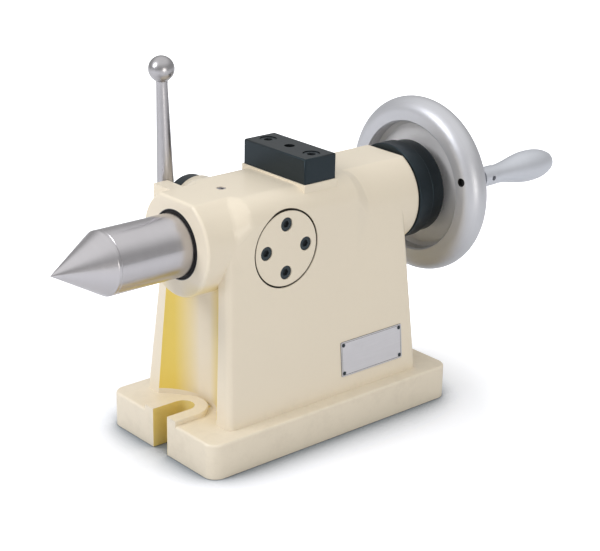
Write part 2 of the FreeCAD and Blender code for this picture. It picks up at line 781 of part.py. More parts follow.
# Guide key and its cap
side_cap = new_body("side_cap")
cap_sketch = new_sketch(side_cap, "cap_outline", "XZ_Plane", -CAP_FACE)
add_circle(cap_sketch, CAP_X, CAP_Z, s.cap_radius)
cap_disc = extrude(side_cap, "Pad", "cap_disc", cap_sketch, s.cap_thick - s.seat_gap, True)
spigot_sketch = new_sketch(side_cap, "spigot_outline", "XZ_Plane", -CAP_FACE - 1)
add_circle(spigot_sketch, CAP_X, AXIS, s.cap_spigot_radius)
SPIGOT_END = -(s.quill_radius + s.quill_play + 1.5)
extrude(side_cap, "Pad", "spigot", spigot_sketch, SPIGOT_END - CAP_FACE - 1, True)
cap_spots = [
    (CAP_X + across * s.cap_screw_circle, CAP_Z + up * s.cap_screw_circle)
    for across, up in CAP_SCREW_SPOTS
]
drill(side_cap, "cap_screw_clearances", "XZ_Plane", -CAP_FACE + 1, cap_spots,
      s.cap_screw_radius + s.seat_gap, s.cap_thick + 2)
drill(side_cap, "cap_screw_heads", "XZ_Plane", -CAP_FACE + 1, cap_spots,
      s.cap_head_radius + s.free_gap, 7)
drill(side_cap, "key_screw_thread", "XZ_Plane", -SPIGOT_END + 9, [(CAP_X, AXIS)], 2 + s.seat_gap, 10)

group("side_cap_screws", [
    socket_screw("cap_screw_{}".format(index), s.cap_screw_radius, 10, s.cap_head_radius, 5, 3.6, "near",
                 x, CAP_FACE + 6, z)
    for index, (x, z) in enumerate(cap_spots, start=1)
])

guide_key = new_body("guide_key")
guide_sketch = new_sketch(guide_key, "guide_outline", "XZ_Plane", -SPIGOT_END - s.seat_gap)
HALF_KEY = s.keyway_width / 2 - s.running_gap
add_outline(guide_sketch, rectangle(
    CAP_X - s.key_length / 2, CAP_X + s.key_length / 2, AXIS - HALF_KEY, AXIS + HALF_KEY))
KEY_TIP = -(s.quill_radius - s.keyway_depth + s.free_gap)
extrude(guide_key, "Pad", "guide_bar", guide_sketch, KEY_TIP - SPIGOT_END - s.seat_gap, True)
drill(guide_key, "guide_screw_hole", "XZ_Plane", -SPIGOT_END + 1, [(CAP_X, AXIS)], 2 + s.seat_gap, 10)
drill(guide_key, "guide_screw_head", "XZ_Plane", -KEY_TIP + 3, [(CAP_X, AXIS)], 3.8, 4)
screw = socket_screw("guide_key_screw", 2, 9, 3.5, 2.2, 1.4, "far", CAP_X, KEY_TIP - 3 + s.seat_gap, AXIS)
screw.Label = "guide_key_screw"

# Top block and oiler
top_block = new_body("top_block")
block_sketch = new_sketch(top_block, "block_outline", "XY_Plane", BLOCK_SEAT + s.seat_gap)
add_outline(block_sketch, rectangle(
    BLOCK_X - s.block_length / 2, BLOCK_X + s.block_length / 2, -s.block_width / 2, s.block_width / 2))
block_pad = extrude(top_block, "Pad", "block", block_sketch, s.block_height)
block_edges = round_edges(top_block, "block_edges", block_pad,
                          lambda edge: not all_points(edge, lambda point: near(
                              point.z, BLOCK_SEAT + s.seat_gap)), 1.2, "Chamfer")
BLOCK_TOP = BLOCK_SEAT + s.seat_gap + s.block_height
block_spots = [(BLOCK_X, side * s.block_screw_pitch / 2) for side in (-1, 1)]
drill(top_block, "block_screw_clearances", "XY_Plane", BLOCK_TOP + 1, block_spots,
      s.block_screw_radius + s.seat_gap, s.block_height + 2)
drill(top_block, "block_screw_heads", "XY_Plane", BLOCK_TOP + 1, block_spots,
      s.block_head_radius + s.free_gap, HEAD_SINK + 1)
drill(top_block, "lift_thread", "XY_Plane", BLOCK_TOP + 1, [(BLOCK_X, 0)], s.lift_bore / 2, s.lift_depth)
group("top_block_screws", [
    socket_screw("block_screw_{}".format(index), s.block_screw_radius, s.block_screw_length,
                 s.block_head_radius, 2 * s.block_screw_radius, 4.6, "up",
                 x, y, BLOCK_TOP - HEAD_SINK + s.seat_gap)
    for index, (x, y) in enumerate(block_spots, start=1)
])

oil_plug = new_body("oil_plug", -s.oiler_forward, 0, AXIS + s.barrel_flat)
oil_sketch = new_sketch(oil_plug, "oil_plug_outline", "XY_Plane", -5.5)
add_circle(oil_sketch, 0, 0, s.oiler_radius - s.seat_gap)
extrude(oil_plug, "Pad", "oil_plug_body", oil_sketch, 5)
drill(oil_plug, "oil_dimple", "XY_Plane", 0.5, [(0, 0)], s.oiler_radius / 2, 3)

# Nameplate, laid on the leaning wall
PLATE_Y = -(s.barrel_radius + (AXIS - s.plate_level) * WALL_SLOPE)


def lay_on_wall(thing):
    """Turns a piece about X so that it lies on the near wall, at the plate's middle."""
    thing.Placement.Rotation = FreeCAD.Rotation(FreeCAD.Vector(1, 0, 0), -5)
    thing.setExpression("Placement.Rotation.Angle", "atan({})".format(WALL_SLOPE.formula))
    thing.setExpression("Placement.Rotation.Axis.x", "-1")
    place(thing, s.plate_rear, PLATE_Y, s.plate_level)


nameplate = new_body("nameplate")
plate_sketch = new_sketch(nameplate, "plate_outline", "XZ_Plane", s.seat_gap)
add_outline(plate_sketch, rectangle(
    -s.plate_length / 2, s.plate_length / 2, -s.plate_height / 2, s.plate_height / 2))
extrude(nameplate, "Pad", "plate", plate_sketch, s.plate_thick)
RIVET_SPOTS = [
    (across * (s.plate_length / 2 - 3.5), up * (s.plate_height / 2 - 3.5))
    for across in (-1, 1) for up in (-1, 1)
]
drill(nameplate, "rivet_holes", "XZ_Plane", s.plate_thick + 1, RIVET_SPOTS, 1.2 + s.seat_gap, 2)
lay_on_wall(nameplate)

rivets = new_body("nameplate_rivets")
rivets.AllowCompound = True
rivet_sketch = new_sketch(rivets, "rivet_outline", "XZ_Plane", s.seat_gap)
for across, up in RIVET_SPOTS:
    add_circle(rivet_sketch, across, up, 1.2)
extrude(rivets, "Pad", "rivet_shanks", rivet_sketch, s.plate_thick + 0.3)
rivet_head_sketch = new_sketch(rivets, "rivet_head_outline", "XZ_Plane", 2 * s.seat_gap + s.plate_thick)
for across, up in RIVET_SPOTS:
    add_circle(rivet_head_sketch, across, up, 1.9)
extrude(rivets, "Pad", "rivet_heads", rivet_head_sketch, 0.8)
lay_on_wall(rivets)

# Rear flange, bearings, feed screw
rear_flange, _ = turned("rear_flange", [
    (BARREL_REAR - s.spigot_length, s.bearing_outer + s.seat_gap),
    (BARREL_REAR - s.spigot_length, s.quill_radius - 1),
    (BARREL_REAR - s.spigot_length + 1, s.quill_radius),
    (BARREL_REAR + s.seat_gap, s.quill_radius),
    (BARREL_REAR + s.seat_gap, s.flange_radius - 0.8),
    (BARREL_REAR + s.seat_gap + 0.8, s.flange_radius),
    (FLANGE_REAR - 1.2, s.flange_radius),
    (FLANGE_REAR, s.flange_radius - 1.2),
    (FLANGE_REAR, s.bearing_inner + s.free_gap),
    (FLANGE_REAR - 3 + s.seat_gap, s.bearing_inner + s.free_gap),
    (FLANGE_REAR - 3 + s.seat_gap, s.bearing_outer + s.seat_gap),
])
drill(rear_flange, "flange_clearances", "YZ_Plane", FLANGE_REAR + 1, FLANGE_SPOTS,
      s.flange_screw_radius + s.seat_gap, s.flange_thick + 3)
drill(rear_flange, "flange_heads", "YZ_Plane", FLANGE_REAR + 1, FLANGE_SPOTS, 5 + s.free_gap, 8)
group("rear_flange_screws", [
    socket_screw("flange_screw_{}".format(index), s.flange_screw_radius, s.flange_screw_length,
                 5, 2 * s.flange_screw_radius, 2.8, "rear",
                 FLANGE_REAR - 7 + s.seat_gap, u, AXIS + v)
    for index, (u, v) in enumerate(FLANGE_SPOTS, start=1)
])


def thrust_bearing(label, front):
    """Two washers with the ball cage between them."""
    rear = front + s.bearing_thick - 2 * s.running_gap
    inner = s.bearing_inner + s.running_gap
    cage = s.bearing_outer - 1.8
    turned(label, [
        (front, inner),
        (front, s.bearing_outer),
        (front + 3, s.bearing_outer),
        (front + 3, cage),
        (rear - 3, cage),
        (rear - 3, s.bearing_outer),
        (rear, s.bearing_outer),
        (rear, inner),
    ])


thrust_bearing("thrust_bearing_front", COLLAR_FRONT - s.bearing_thick + s.running_gap)
thrust_bearing("thrust_bearing_rear", COLLAR_REAR + s.running_gap)
RETAINER_REAR = COLLAR_FRONT - s.bearing_thick
turned("bearing_retainer", [
    (RETAINER_REAR - 5, s.bearing_inner + s.free_gap),
    (RETAINER_REAR - 5, s.bearing_outer),
    (RETAINER_REAR, s.bearing_outer),
    (RETAINER_REAR, s.bearing_inner + s.free_gap),
])

SCREW_END = HUB_REAR + 18
feed_screw, _ = turned("feed_screw", [
    (SCREW_FRONT, 0),
    (SCREW_FRONT, s.screw_radius - 1.5),
    (SCREW_FRONT + 1.5, s.screw_radius),
    (RETAINER_REAR - 8, s.screw_radius),
    (RETAINER_REAR - 6, s.bearing_inner),
    (COLLAR_FRONT, s.bearing_inner),
    (COLLAR_FRONT, s.collar_radius),
    (COLLAR_REAR, s.collar_radius),
    (COLLAR_REAR, s.bearing_inner),
    (HUB_FRONT - s.seat_gap, s.bearing_inner),
    (HUB_FRONT - s.seat_gap, s.wheel_seat_radius),
    (HUB_REAR - 1, s.wheel_seat_radius),
    (HUB_REAR - 1, 8),
    (SCREW_END - 1, 8),
    (SCREW_END, 7),
    (SCREW_END, 0),
])
KEY_FOOT = s.wheel_seat_radius - 3.5
wheel_key_spots = rectangle(HUB_FRONT + 3, HUB_REAR - 3, -3, 3)
key_seat_sketch = new_sketch(feed_screw, "wheel_key_seat_outline", "XY_Plane", KEY_FOOT)
add_outline(key_seat_sketch, wheel_key_spots)
extrude(feed_screw, "Pocket", "wheel_key_seat", key_seat_sketch, 8, True)

feed_dial, _ = turned("feed_dial", [
    (DIAL_FRONT, s.bearing_inner + s.seat_gap),
    (DIAL_FRONT, s.dial_radius - 1),
    (DIAL_FRONT + 1, s.dial_radius),
    (DIAL_REAR - 1.5, s.dial_radius),
    (DIAL_REAR, s.dial_radius - 1.5),
    (DIAL_REAR, s.bearing_inner + s.seat_gap),
])
DIAL_MIDDLE = (DIAL_FRONT + DIAL_REAR) / 2
drill(feed_dial, "set_screw_hole", "XY_Plane", -s.bearing_inner + 1, [(DIAL_MIDDLE, 0)],
      3 + s.seat_gap, s.dial_radius)
set_screw = socket_screw("dial_set_screw", 3, 1, 3, 14, 1.7, "down",
                         DIAL_MIDDLE, 0, AXIS - s.bearing_inner - 1 - s.seat_gap)
set_screw.Label = "dial_set_screw"

# Handwheel
WEB_FRONT = RIM_X + 1
WEB_REAR = WEB_FRONT + s.web_thick
handwheel, _ = turned("handwheel", [
    (HUB_FRONT, s.wheel_seat_radius + s.seat_gap),
    (HUB_FRONT, s.hub_radius),
    (WEB_FRONT - 2, s.hub_radius + 2),
    (WEB_FRONT, s.hub_radius + 8),
    (WEB_FRONT, s.band_inner - 4),
    (WEB_FRONT - 4, s.band_inner + 1),
    (WEB_FRONT - 4, s.band_inner + 3),
    (WEB_REAR, s.band_inner + 3),
    (WEB_REAR, s.hub_radius + 6),
    (WEB_REAR + 3, s.hub_radius),
    (HUB_REAR, s.hub_radius - 1),
    (HUB_REAR, s.wheel_seat_radius + s.seat_gap),
])
rim_sketch = new_sketch(handwheel, "rim_outline", "XZ_Plane")


def add_rim(sketch):
    """Round outside, with a flat band on the front that ends at the dish."""
    centre = FreeCAD.Vector(RIM_X.number, RIM_CIRCLE.number, 0)
    circle = Part.Circle(centre, FreeCAD.Vector(0, 0, 1), s.rim_radius.number)
    crown = sketch.addGeometry(Part.ArcOfCircle(circle, 0, math.pi), False)
    corners = [
        (RIM_X - s.rim_radius, RIM_CIRCLE),
        (RIM_X - s.rim_radius, s.band_inner + s.rim_chamfer),
        (RIM_X - s.rim_radius + s.rim_chamfer, s.band_inner),
        (RIM_X + s.rim_radius / 2, s.band_inner),
        (RIM_X + s.rim_radius, RIM_CIRCLE),
    ]
    points = [FreeCAD.Vector(u.number, v.number, 0) for u, v in corners]
    lines = [
        sketch.addGeometry(Part.LineSegment(first, last), False)
        for first, last in zip(points, points[1:])
    ]
    sketch.addConstraint(Sketcher.Constraint("Coincident", crown, 2, lines[0], 1))
    for line, following in zip(lines, lines[1:]):
        sketch.addConstraint(Sketcher.Constraint("Coincident", line, 2, following, 1))
    sketch.addConstraint(Sketcher.Constraint("Coincident", lines[-1], 2, crown, 1))
    hold_point(sketch, crown, 3, RIM_X, RIM_CIRCLE)
    for line, (u, v) in zip(lines, corners):
        hold_point(sketch, line, 1, u, v)
    index = sketch.addConstraint(
        Sketcher.Constraint("DistanceY", -1, 1, lines[-1], 2, RIM_CIRCLE.number))
    sketch.setExpression("Constraints[{}]".format(index), RIM_CIRCLE.formula)


add_rim(rim_sketch)
rim = handwheel.newObject("PartDesign::Revolution", "rim")
rim.Profile = rim_sketch
rim.ReferenceAxis = (rim_sketch, ["H_Axis"])
rim.Angle = 360
stud_spot = [(HANDLE_Y, HANDLE_Z - AXIS)]
drill(handwheel, "handle_hole", "YZ_Plane", RIM_X + s.rim_radius + 1, stud_spot,
      s.stud_radius + s.seat_gap, 2 * s.rim_radius + 2)
drill(handwheel, "handle_spot_face", "YZ_Plane", RIM_X + s.rim_radius + 1, stud_spot,
      s.handle_collar_radius + 1, 3)
hub_key_sketch = new_sketch(handwheel, "hub_keyway_outline", "XY_Plane", 0)
add_outline(hub_key_sketch, rectangle(HUB_FRONT - 1, HUB_REAR + 1, -3 - s.seat_gap, 3 + s.seat_gap))
extrude(handwheel, "Pocket", "hub_keyway", hub_key_sketch, KEY_FOOT + 6 + s.free_gap, True)

wheel_key = new_body("wheel_key", 0, 0, AXIS)
wheel_key_sketch = new_sketch(wheel_key, "wheel_key_outline", "XY_Plane", KEY_FOOT + s.seat_gap)
add_outline(wheel_key_sketch, rectangle(HUB_FRONT + 3 + s.seat_gap, HUB_REAR - 3 - s.seat_gap,
                                        -3 + s.seat_gap, 3 - s.seat_gap))
extrude(wheel_key, "Pad", "key_bar", wheel_key_sketch, 6)

turned("wheel_washer", [
    (HUB_REAR + s.seat_gap, 8.1),
    (HUB_REAR + s.seat_gap, 15),
    (HUB_REAR + 3, 15),
    (HUB_REAR + 3, 8.1),
])
wheel_nut = new_body("wheel_nut", 0, 0, AXIS)
nut_sketch = new_sketch(wheel_nut, "wheel_nut_outline", "YZ_Plane", HUB_REAR + 3 + s.seat_gap)
hexagon = [
    (13.86 * math.cos(math.radians(60 * corner)), 13.86 * math.sin(math.radians(60 * corner)))
    for corner in range(6)
]
add_outline(nut_sketch, hexagon)
extrude(wheel_nut, "Pad", "wheel_nut_hexagon", nut_sketch, 13)
drill(wheel_nut, "wheel_nut_thread", "YZ_Plane", HUB_REAR + 18, [(0, 0)], 8 + s.seat_gap, 17)

# Crank handle
stud, _ = turned("handle_stud", [
    (RIM_X - s.rim_radius + 4, 0),
    (RIM_X - s.rim_radius + 4, s.stud_radius),
    (SPOT_FACE + s.seat_gap, s.stud_radius),
    (SPOT_FACE + s.seat_gap, s.handle_collar_radius),
    (SPOT_FACE + s.handle_collar_length, s.handle_collar_radius),
    (SPOT_FACE + s.handle_collar_length, s.pin_radius),
    (PIN_END - 6, s.pin_radius),
    (PIN_END - 6, 0),
], y=HANDLE_Y, z=HANDLE_Z)
drill(stud, "wrench_hole", "XZ_Plane", s.handle_collar_radius + 1,
      [(SPOT_FACE + 0.58 * s.handle_collar_length, 0)],
      s.handle_hole_radius, 2 * s.handle_collar_radius + 2)


def grip_radius(share):
    """A slim neck that swells to its full radius past the middle and rounds off at the end."""
    swell = math.sin(math.pi * min(share / 0.62, 1) / 2) ** 2 if share < 0.62 else 1
    fall = 1 if share < 0.62 else 1 - 0.42 * ((share - 0.62) / 0.38) ** 2.6
    return s.handle_collar_radius * 0.95 * (1 - swell) * fall + s.grip_radius * (swell * fall)


GRIP_START = SPOT_FACE + s.handle_collar_length + s.free_gap
GRIP_STEPS = 14
grip_outline = [
    (GRIP_START + (s.handle_length - s.free_gap) * (step / GRIP_STEPS), grip_radius(step / GRIP_STEPS))
    for step in range(GRIP_STEPS + 1)
]
GRIP_END = GRIP_START + s.handle_length - s.free_gap
handle_grip, _ = turned("handle_grip", [(GRIP_START, s.pin_radius + s.running_gap)] + grip_outline + [
    (GRIP_END, 8 + s.free_gap),
    (PIN_END - 5, 8 + s.free_gap),
    (PIN_END - 5, s.pin_radius + s.running_gap),
], y=HANDLE_Y, z=HANDLE_Z)
turned("handle_end_screw", [
    (PIN_END - 6 + s.seat_gap, 0),
    (PIN_END - 6 + s.seat_gap, s.pin_radius),
    (PIN_END - 4.7, s.pin_radius),
    (PIN_END - 4.7, 8),
    (PIN_END - 0.7, 8),
    (PIN_END, 7),
    (PIN_END, 0),
], y=HANDLE_Y, z=HANDLE_Z)

# Quill clamp on the far side
SHOE_OUTER = BOSS_FACE - 16
shoe_blank = doc.addObject("Part::Cylinder", "shoe_blank")
bind(shoe_blank, "Radius", s.shoe_radius)
bind(shoe_blank, "Height", SHOE_OUTER - 15)
shoe_blank.Placement.Rotation = HEAD_TURNS["far"]
place(shoe_blank, CLAMP_X, 15, CLAMP_Z)
quill_space = doc.addObject("Part::Cylinder", "quill_space")
bind(quill_space, "Radius", s.quill_radius + s.running_gap)
bind(quill_space, "Height", 4 * s.shoe_radius)
quill_space.Placement.Rotation = HEAD_TURNS["rear"]
place(quill_space, CLAMP_X - 2 * s.shoe_radius, 0, AXIS)
clamp_shoe = doc.addObject("Part::Cut", "clamp_shoe")
clamp_shoe.Label = "clamp_shoe"
clamp_shoe.Base = shoe_blank
clamp_shoe.Tool = quill_space


def turned_across(label, corners):
    """A piece turned about the clamp's cross axis: corners are (distance along Y, radius)."""
    body = new_body(label, CLAMP_X, 0, CLAMP_Z)
    sketch = new_sketch(body, label + "_profile", "YZ_Plane")
    add_outline(sketch, corners)
    revolution = body.newObject("PartDesign::Revolution", label + "_turned")
    revolution.Profile = sketch
    revolution.ReferenceAxis = (sketch, ["H_Axis"])
    revolution.Angle = 360
    return body


HUB_INNER = BOSS_FACE + s.free_gap
HUB_OUTER = HUB_INNER + s.clamp_hub_thick
turned_across("clamp_spindle", [
    (SHOE_OUTER + s.free_gap, 0),
    (SHOE_OUTER + s.free_gap, s.shoe_radius - s.running_gap),
    (HUB_INNER - s.free_gap, s.shoe_radius - s.running_gap),
    (HUB_INNER - s.free_gap, s.spindle_radius),
    (HUB_OUTER - 1, s.spindle_radius),
    (HUB_OUTER - 1, 0),
])
clamp_hub = turned_across("clamp_hub", [
    (HUB_INNER, s.spindle_radius + s.seat_gap),
    (HUB_INNER, s.clamp_hub_radius - 1),
    (HUB_INNER + 1, s.clamp_hub_radius),
    (HUB_OUTER - 2, s.clamp_hub_radius),
    (HUB_OUTER, s.clamp_hub_radius - 2),
    (HUB_OUTER, s.spindle_radius + s.seat_gap),
])
# The hub's ear carries the lever beside the spindle.
ear_sketch = new_sketch(clamp_hub, "ear_outline", "XZ_Plane", -HUB_INNER)
add_outline(ear_sketch, rectangle(-s.lever_offset - s.clamp_ear, 0, -s.clamp_ear, s.clamp_ear))
ear = extrude(clamp_hub, "Pad", "ear", ear_sketch, s.clamp_hub_thick, True)


def is_ear_end(edge):
    return all_points(edge, lambda point: near(point.x, -s.lever_offset - s.clamp_ear)
                      and near(abs(point.z), s.clamp_ear))


round_edges(clamp_hub, "ear_corners", ear, is_ear_end, s.clamp_ear * 0.4)
drill(clamp_hub, "spindle_bore", "XZ_Plane", 1 - HUB_INNER, [(0, 0)],
      s.spindle_radius + s.seat_gap, s.clamp_hub_thick + 2)
LEVER_TENON = 5.5
TENON_FOOT = -7.0
LEVER_FOOT = s.clamp_ear + s.lever_neck
# The socket goes on upwards as a relief in the hub's rim, so the lever's neck clears it.
drill(clamp_hub, "lever_socket", "XY_Plane", LEVER_FOOT - 1, [(-s.lever_offset, LEVER_Y)],
      LEVER_TENON + s.clamp_ear * sine(s.lever_lean) + s.running_gap, LEVER_FOOT - 1 - TENON_FOOT + 0.5)
drill(clamp_hub, "hub_screw_hole", "XY_Plane", -s.spindle_radius + 1, [(0, LEVER_Y)], 3 + s.seat_gap,
      s.clamp_hub_radius)
hub_screw = socket_screw("hub_set_screw", 3, 1, 3, 12, 1.7, "down", CLAMP_X, LEVER_Y,
                         CLAMP_Z - s.spindle_radius - 1 - s.seat_gap)
hub_screw.Label = "hub_set_screw"

lever = new_body("clamp_lever")
lever_sketch = new_sketch(lever, "lever_profile", "XZ_Plane")
add_outline(lever_sketch, [
    (0, TENON_FOOT),
    (LEVER_TENON, TENON_FOOT),
    (LEVER_TENON, LEVER_FOOT),
    (s.lever_foot_radius - 1, LEVER_FOOT + 1.5),
    (s.lever_foot_radius, LEVER_FOOT + 5),
    (s.lever_neck_radius, s.lever_rise - s.ball_radius + 2),
    (0, s.lever_rise - s.ball_radius + 2),
])
lever_shank = lever.newObject("PartDesign::Revolution", "lever_shank")
lever_shank.Profile = lever_sketch
lever_shank.ReferenceAxis = (lever_sketch, ["V_Axis"])
lever_shank.Angle = 360
doc.recompute()
ball = lever.newObject("PartDesign::AdditiveSphere", "ball")
ball.AttachmentSupport = [(plane_of(lever, "XY_Plane"), "")]
ball.MapMode = "FlatFace"
ball.setExpression("AttachmentOffset.Base.z", s.lever_rise.formula)
bind(ball, "Radius", s.ball_radius)
lever.Placement.Rotation = FreeCAD.Rotation(FreeCAD.Vector(0, 1, 0), -1.6)
lever.setExpression("Placement.Rotation.Angle", s.lever_lean.formula)
lever.setExpression("Placement.Rotation.Axis.y", "-1")
place(lever, CLAMP_X - s.lever_offset, LEVER_Y, CLAMP_Z)

# Check and write
doc.recompute()
for item in doc.Objects:
    if "Invalid" in item.State or "Error" in item.State:
        raise RuntimeError("{} did not recompute: {}".format(item.Name, item.State))

NODES = [
    "body_casting", "quill_wiper", "side_cap", "side_cap_screws", "guide_key", "guide_key_screw",
    "top_block", "top_block_screws", "oil_plug", "nameplate", "nameplate_rivets", "rear_flange",
    "rear_flange_screws", "thrust_bearing_front", "thrust_bearing_rear", "bearing_retainer", "clamp_shoe",
    "quill", "centre", "feed_nut", "feed_nut_screws",
    "feed_screw", "feed_dial", "dial_set_screw", "handwheel", "wheel_key", "wheel_washer", "wheel_nut",
    "handle_stud", "handle_grip", "handle_end_screw",
    "clamp_spindle", "clamp_hub", "hub_set_screw", "clamp_lever",
]
os.makedirs("parts", exist_ok=True)
for label in NODES:
    shape = doc.getObjectsByLabel(label)[0].Shape
    if shape.isNull() or not shape.isValid():
        raise RuntimeError("{} has no sound shape".format(label))
    shape.exportStep(os.path.join("parts", label + ".step"))
    box = shape.BoundBox
    ends = (box.XMin, box.XMax, box.YMin, box.YMax, box.ZMin, box.ZMax)
    print("{:22s} solids {:2d} volume {:10.0f}".format(label, len(shape.Solids), shape.Volume),
          "  x {:7.1f} {:7.1f}  y {:6.1f} {:6.1f}  z {:6.1f} {:6.1f}".format(*ends))
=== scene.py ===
import json
import math

import bpy
import numpy as np
from mathutils import Matrix, Vector


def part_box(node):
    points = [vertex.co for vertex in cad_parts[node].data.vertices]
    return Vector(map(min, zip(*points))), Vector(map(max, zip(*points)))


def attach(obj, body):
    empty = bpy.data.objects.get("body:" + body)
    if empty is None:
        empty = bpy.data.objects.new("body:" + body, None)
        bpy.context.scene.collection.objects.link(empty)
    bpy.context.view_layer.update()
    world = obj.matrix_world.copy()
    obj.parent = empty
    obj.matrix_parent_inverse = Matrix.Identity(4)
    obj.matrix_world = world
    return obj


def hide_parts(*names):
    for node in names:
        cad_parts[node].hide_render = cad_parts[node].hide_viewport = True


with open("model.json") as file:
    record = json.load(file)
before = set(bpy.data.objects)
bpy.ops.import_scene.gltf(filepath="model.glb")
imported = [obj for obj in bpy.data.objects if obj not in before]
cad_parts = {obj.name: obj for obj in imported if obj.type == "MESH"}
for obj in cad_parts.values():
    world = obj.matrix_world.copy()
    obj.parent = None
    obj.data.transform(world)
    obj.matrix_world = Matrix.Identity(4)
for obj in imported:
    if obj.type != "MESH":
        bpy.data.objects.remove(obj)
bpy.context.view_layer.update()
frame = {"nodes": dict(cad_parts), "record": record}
NODES = frame["nodes"]
JOINTS = {joint["name"]: joint for joint in frame["record"]["behaviour"]["joints"]}
AXIS = JOINTS["wheel_turn"]["pos_m"][2]
HANDLE = JOINTS["grip_turn"]["pos_m"]

bl_info = {
    "name": "Tailstock finish",
    "version": (1, 0, 0),
    "blender": (4, 5, 0),
    "location": "View3D > Sidebar > Tailstock",
    "description": "Gives the tailstock its paint, ground steel, aluminium and small fittings",
    "category": "Object",
}


# Shader maths

class Wire:
    """One socket of a node tree; arithmetic on it adds Math nodes."""

    def __init__(self, graph, socket):
        self.graph = graph
        self.socket = socket

    def join(self, operation, *others, clamp=False):
        node = self.graph.tree.nodes.new("ShaderNodeMath")
        node.operation = operation
        node.use_clamp = clamp
        for slot, value in zip(node.inputs, (self, *others)):
            self.graph.feed(slot, value)
        return Wire(self.graph, node.outputs[0])

    def __add__(self, other):
        return self.join("ADD", other)

    def __sub__(self, other):
        return self.join("SUBTRACT", other)

    def __mul__(self, other):
        return self.join("MULTIPLY", other)

    def __rsub__(self, other):
        return self * -1.0 + other

    __radd__ = __add__
    __rmul__ = __mul__

    def clamped(self):
        return self.join("ADD", 0.0, clamp=True)

    def power(self, exponent):
        return self.join("POWER", exponent)

    def above(self, level):
        return self.join("GREATER_THAN", level)

    def below(self, level):
        return self.join("LESS_THAN", level)

    def size(self):
        return self.join("ABSOLUTE")

    def rise(self, low, high):
        """0 up to low, 1 from high on, and an even slope between them."""
        return ((self - low) * (1.0 / (high - low))).clamped()


class Graph:
    """A node tree with one method for every kind of node."""

    def __init__(self, tree):
        self.tree = tree

    def feed(self, slot, value):
        if isinstance(value, Wire):
            self.tree.links.new(value.socket, slot)
        else:
            slot.default_value = value

    def node(self, kind, output=0, settings=None, **inputs):
        """Adds a node: its own settings first, then values or wires for its named sockets."""
        node = self.tree.nodes.new("ShaderNode" + kind)
        for name, value in (settings or {}).items():
            setattr(node, name, value)
        for name, value in inputs.items():
            self.feed(node.inputs[name.replace("_", " ")], value)
        return Wire(self, node.outputs[output])

    def place(self):
        return self.node("TexCoord", output="Object")

    def parts(self, where=None):
        """The three coordinates, each as a wire, in metres."""
        first = self.node("SeparateXYZ", Vector=where or self.place())
        return [Wire(self, output) for output in first.socket.node.outputs]

    def noise(self, scale, detail=3.0, roughness=0.5, stretch=(1, 1, 1), where=None):
        spot = self.node("Mapping", Vector=where or self.place(), Scale=stretch)
        return self.node("TexNoise", Vector=spot, Scale=scale, Detail=detail, Roughness=roughness)

    def mix(self, share, first, second):
        """Colour between the first (share 0) and the second (share 1)."""
        node = self.tree.nodes.new("ShaderNodeMix")
        node.data_type = "RGBA"
        for slot, value in zip((node.inputs[0], node.inputs[6], node.inputs[7]), (share, first, second)):
            self.feed(slot, value)
        return Wire(self, node.outputs[2])

    def seen(self):
        """1 where the camera looks straight at this surface, part of that by a mirror or glass."""
        path = self.node("LightPath").socket.node
        straight, mirrored, through = (Wire(self, path.outputs[name]) for name in (
            "Is Camera Ray", "Is Glossy Ray", "Is Transmission Ray"))
        return (straight + (mirrored + through) * stage().mirrored).clamped()


class Finish(Graph):
    """A material being built round its Principled shader."""

    def __init__(self, name, **settings):
        self.material = bpy.data.materials.new(name)
        self.material.use_nodes = True
        super().__init__(self.material.node_tree)
        self.shader = next(node for node in self.tree.nodes if node.type == "BSDF_PRINCIPLED")
        self.relief = None
        for socket, value in settings.items():
            self.set(socket.replace("_", " "), value)

    def set(self, socket, value):
        self.feed(self.shader.inputs[socket], value)

    def bump(self, height, distance):
        """Raises the surface by the height times the distance; each bump rides on the one before."""
        inputs = {"Height": height, "Distance": distance}
        if self.relief:
            inputs["Normal"] = self.relief
        self.relief = self.node("Bump", **inputs)
        self.set("Normal", self.relief)


def solid(colour, factor=1.0):
    return (*(part * factor for part in colour), 1.0)


# Sizes and colours that a user would change

class TAILSTOCK_PG_paint(bpy.types.PropertyGroup):
    cream: bpy.props.FloatVectorProperty(
        name="Paint", description="Colour of the painted casting", subtype="COLOR",
        default=(0.83, 0.74, 0.585), min=0, max=1)
    # Painted shade: the yellow, darker tone that inter-reflected shade gives the scoops and the slot
    recess_shade: bpy.props.FloatVectorProperty(
        name="Recess paint", description="Deeper tone of the paint in the scoops and slots",
        subtype="COLOR", default=(0.80, 0.60, 0.09), min=0, max=1)
    iron: bpy.props.FloatVectorProperty(
        name="Bare iron", description="Colour of the ground underside and the bores",
        subtype="COLOR", default=(0.30, 0.30, 0.29), min=0, max=1)
    roughness: bpy.props.FloatProperty(
        name="Roughness", description="Roughness of the paint", default=0.45, min=0, max=1,
        subtype="FACTOR")
    orange_peel: bpy.props.FloatProperty(
        name="Orange peel", description="Height of the ripple in the paint", default=0.00003,
        min=0, max=0.001, unit="LENGTH")
    waviness: bpy.props.FloatProperty(
        name="Waviness", description="Height of the filler's slow waves under the paint",
        default=0.0004, min=0, max=0.005, unit="LENGTH")


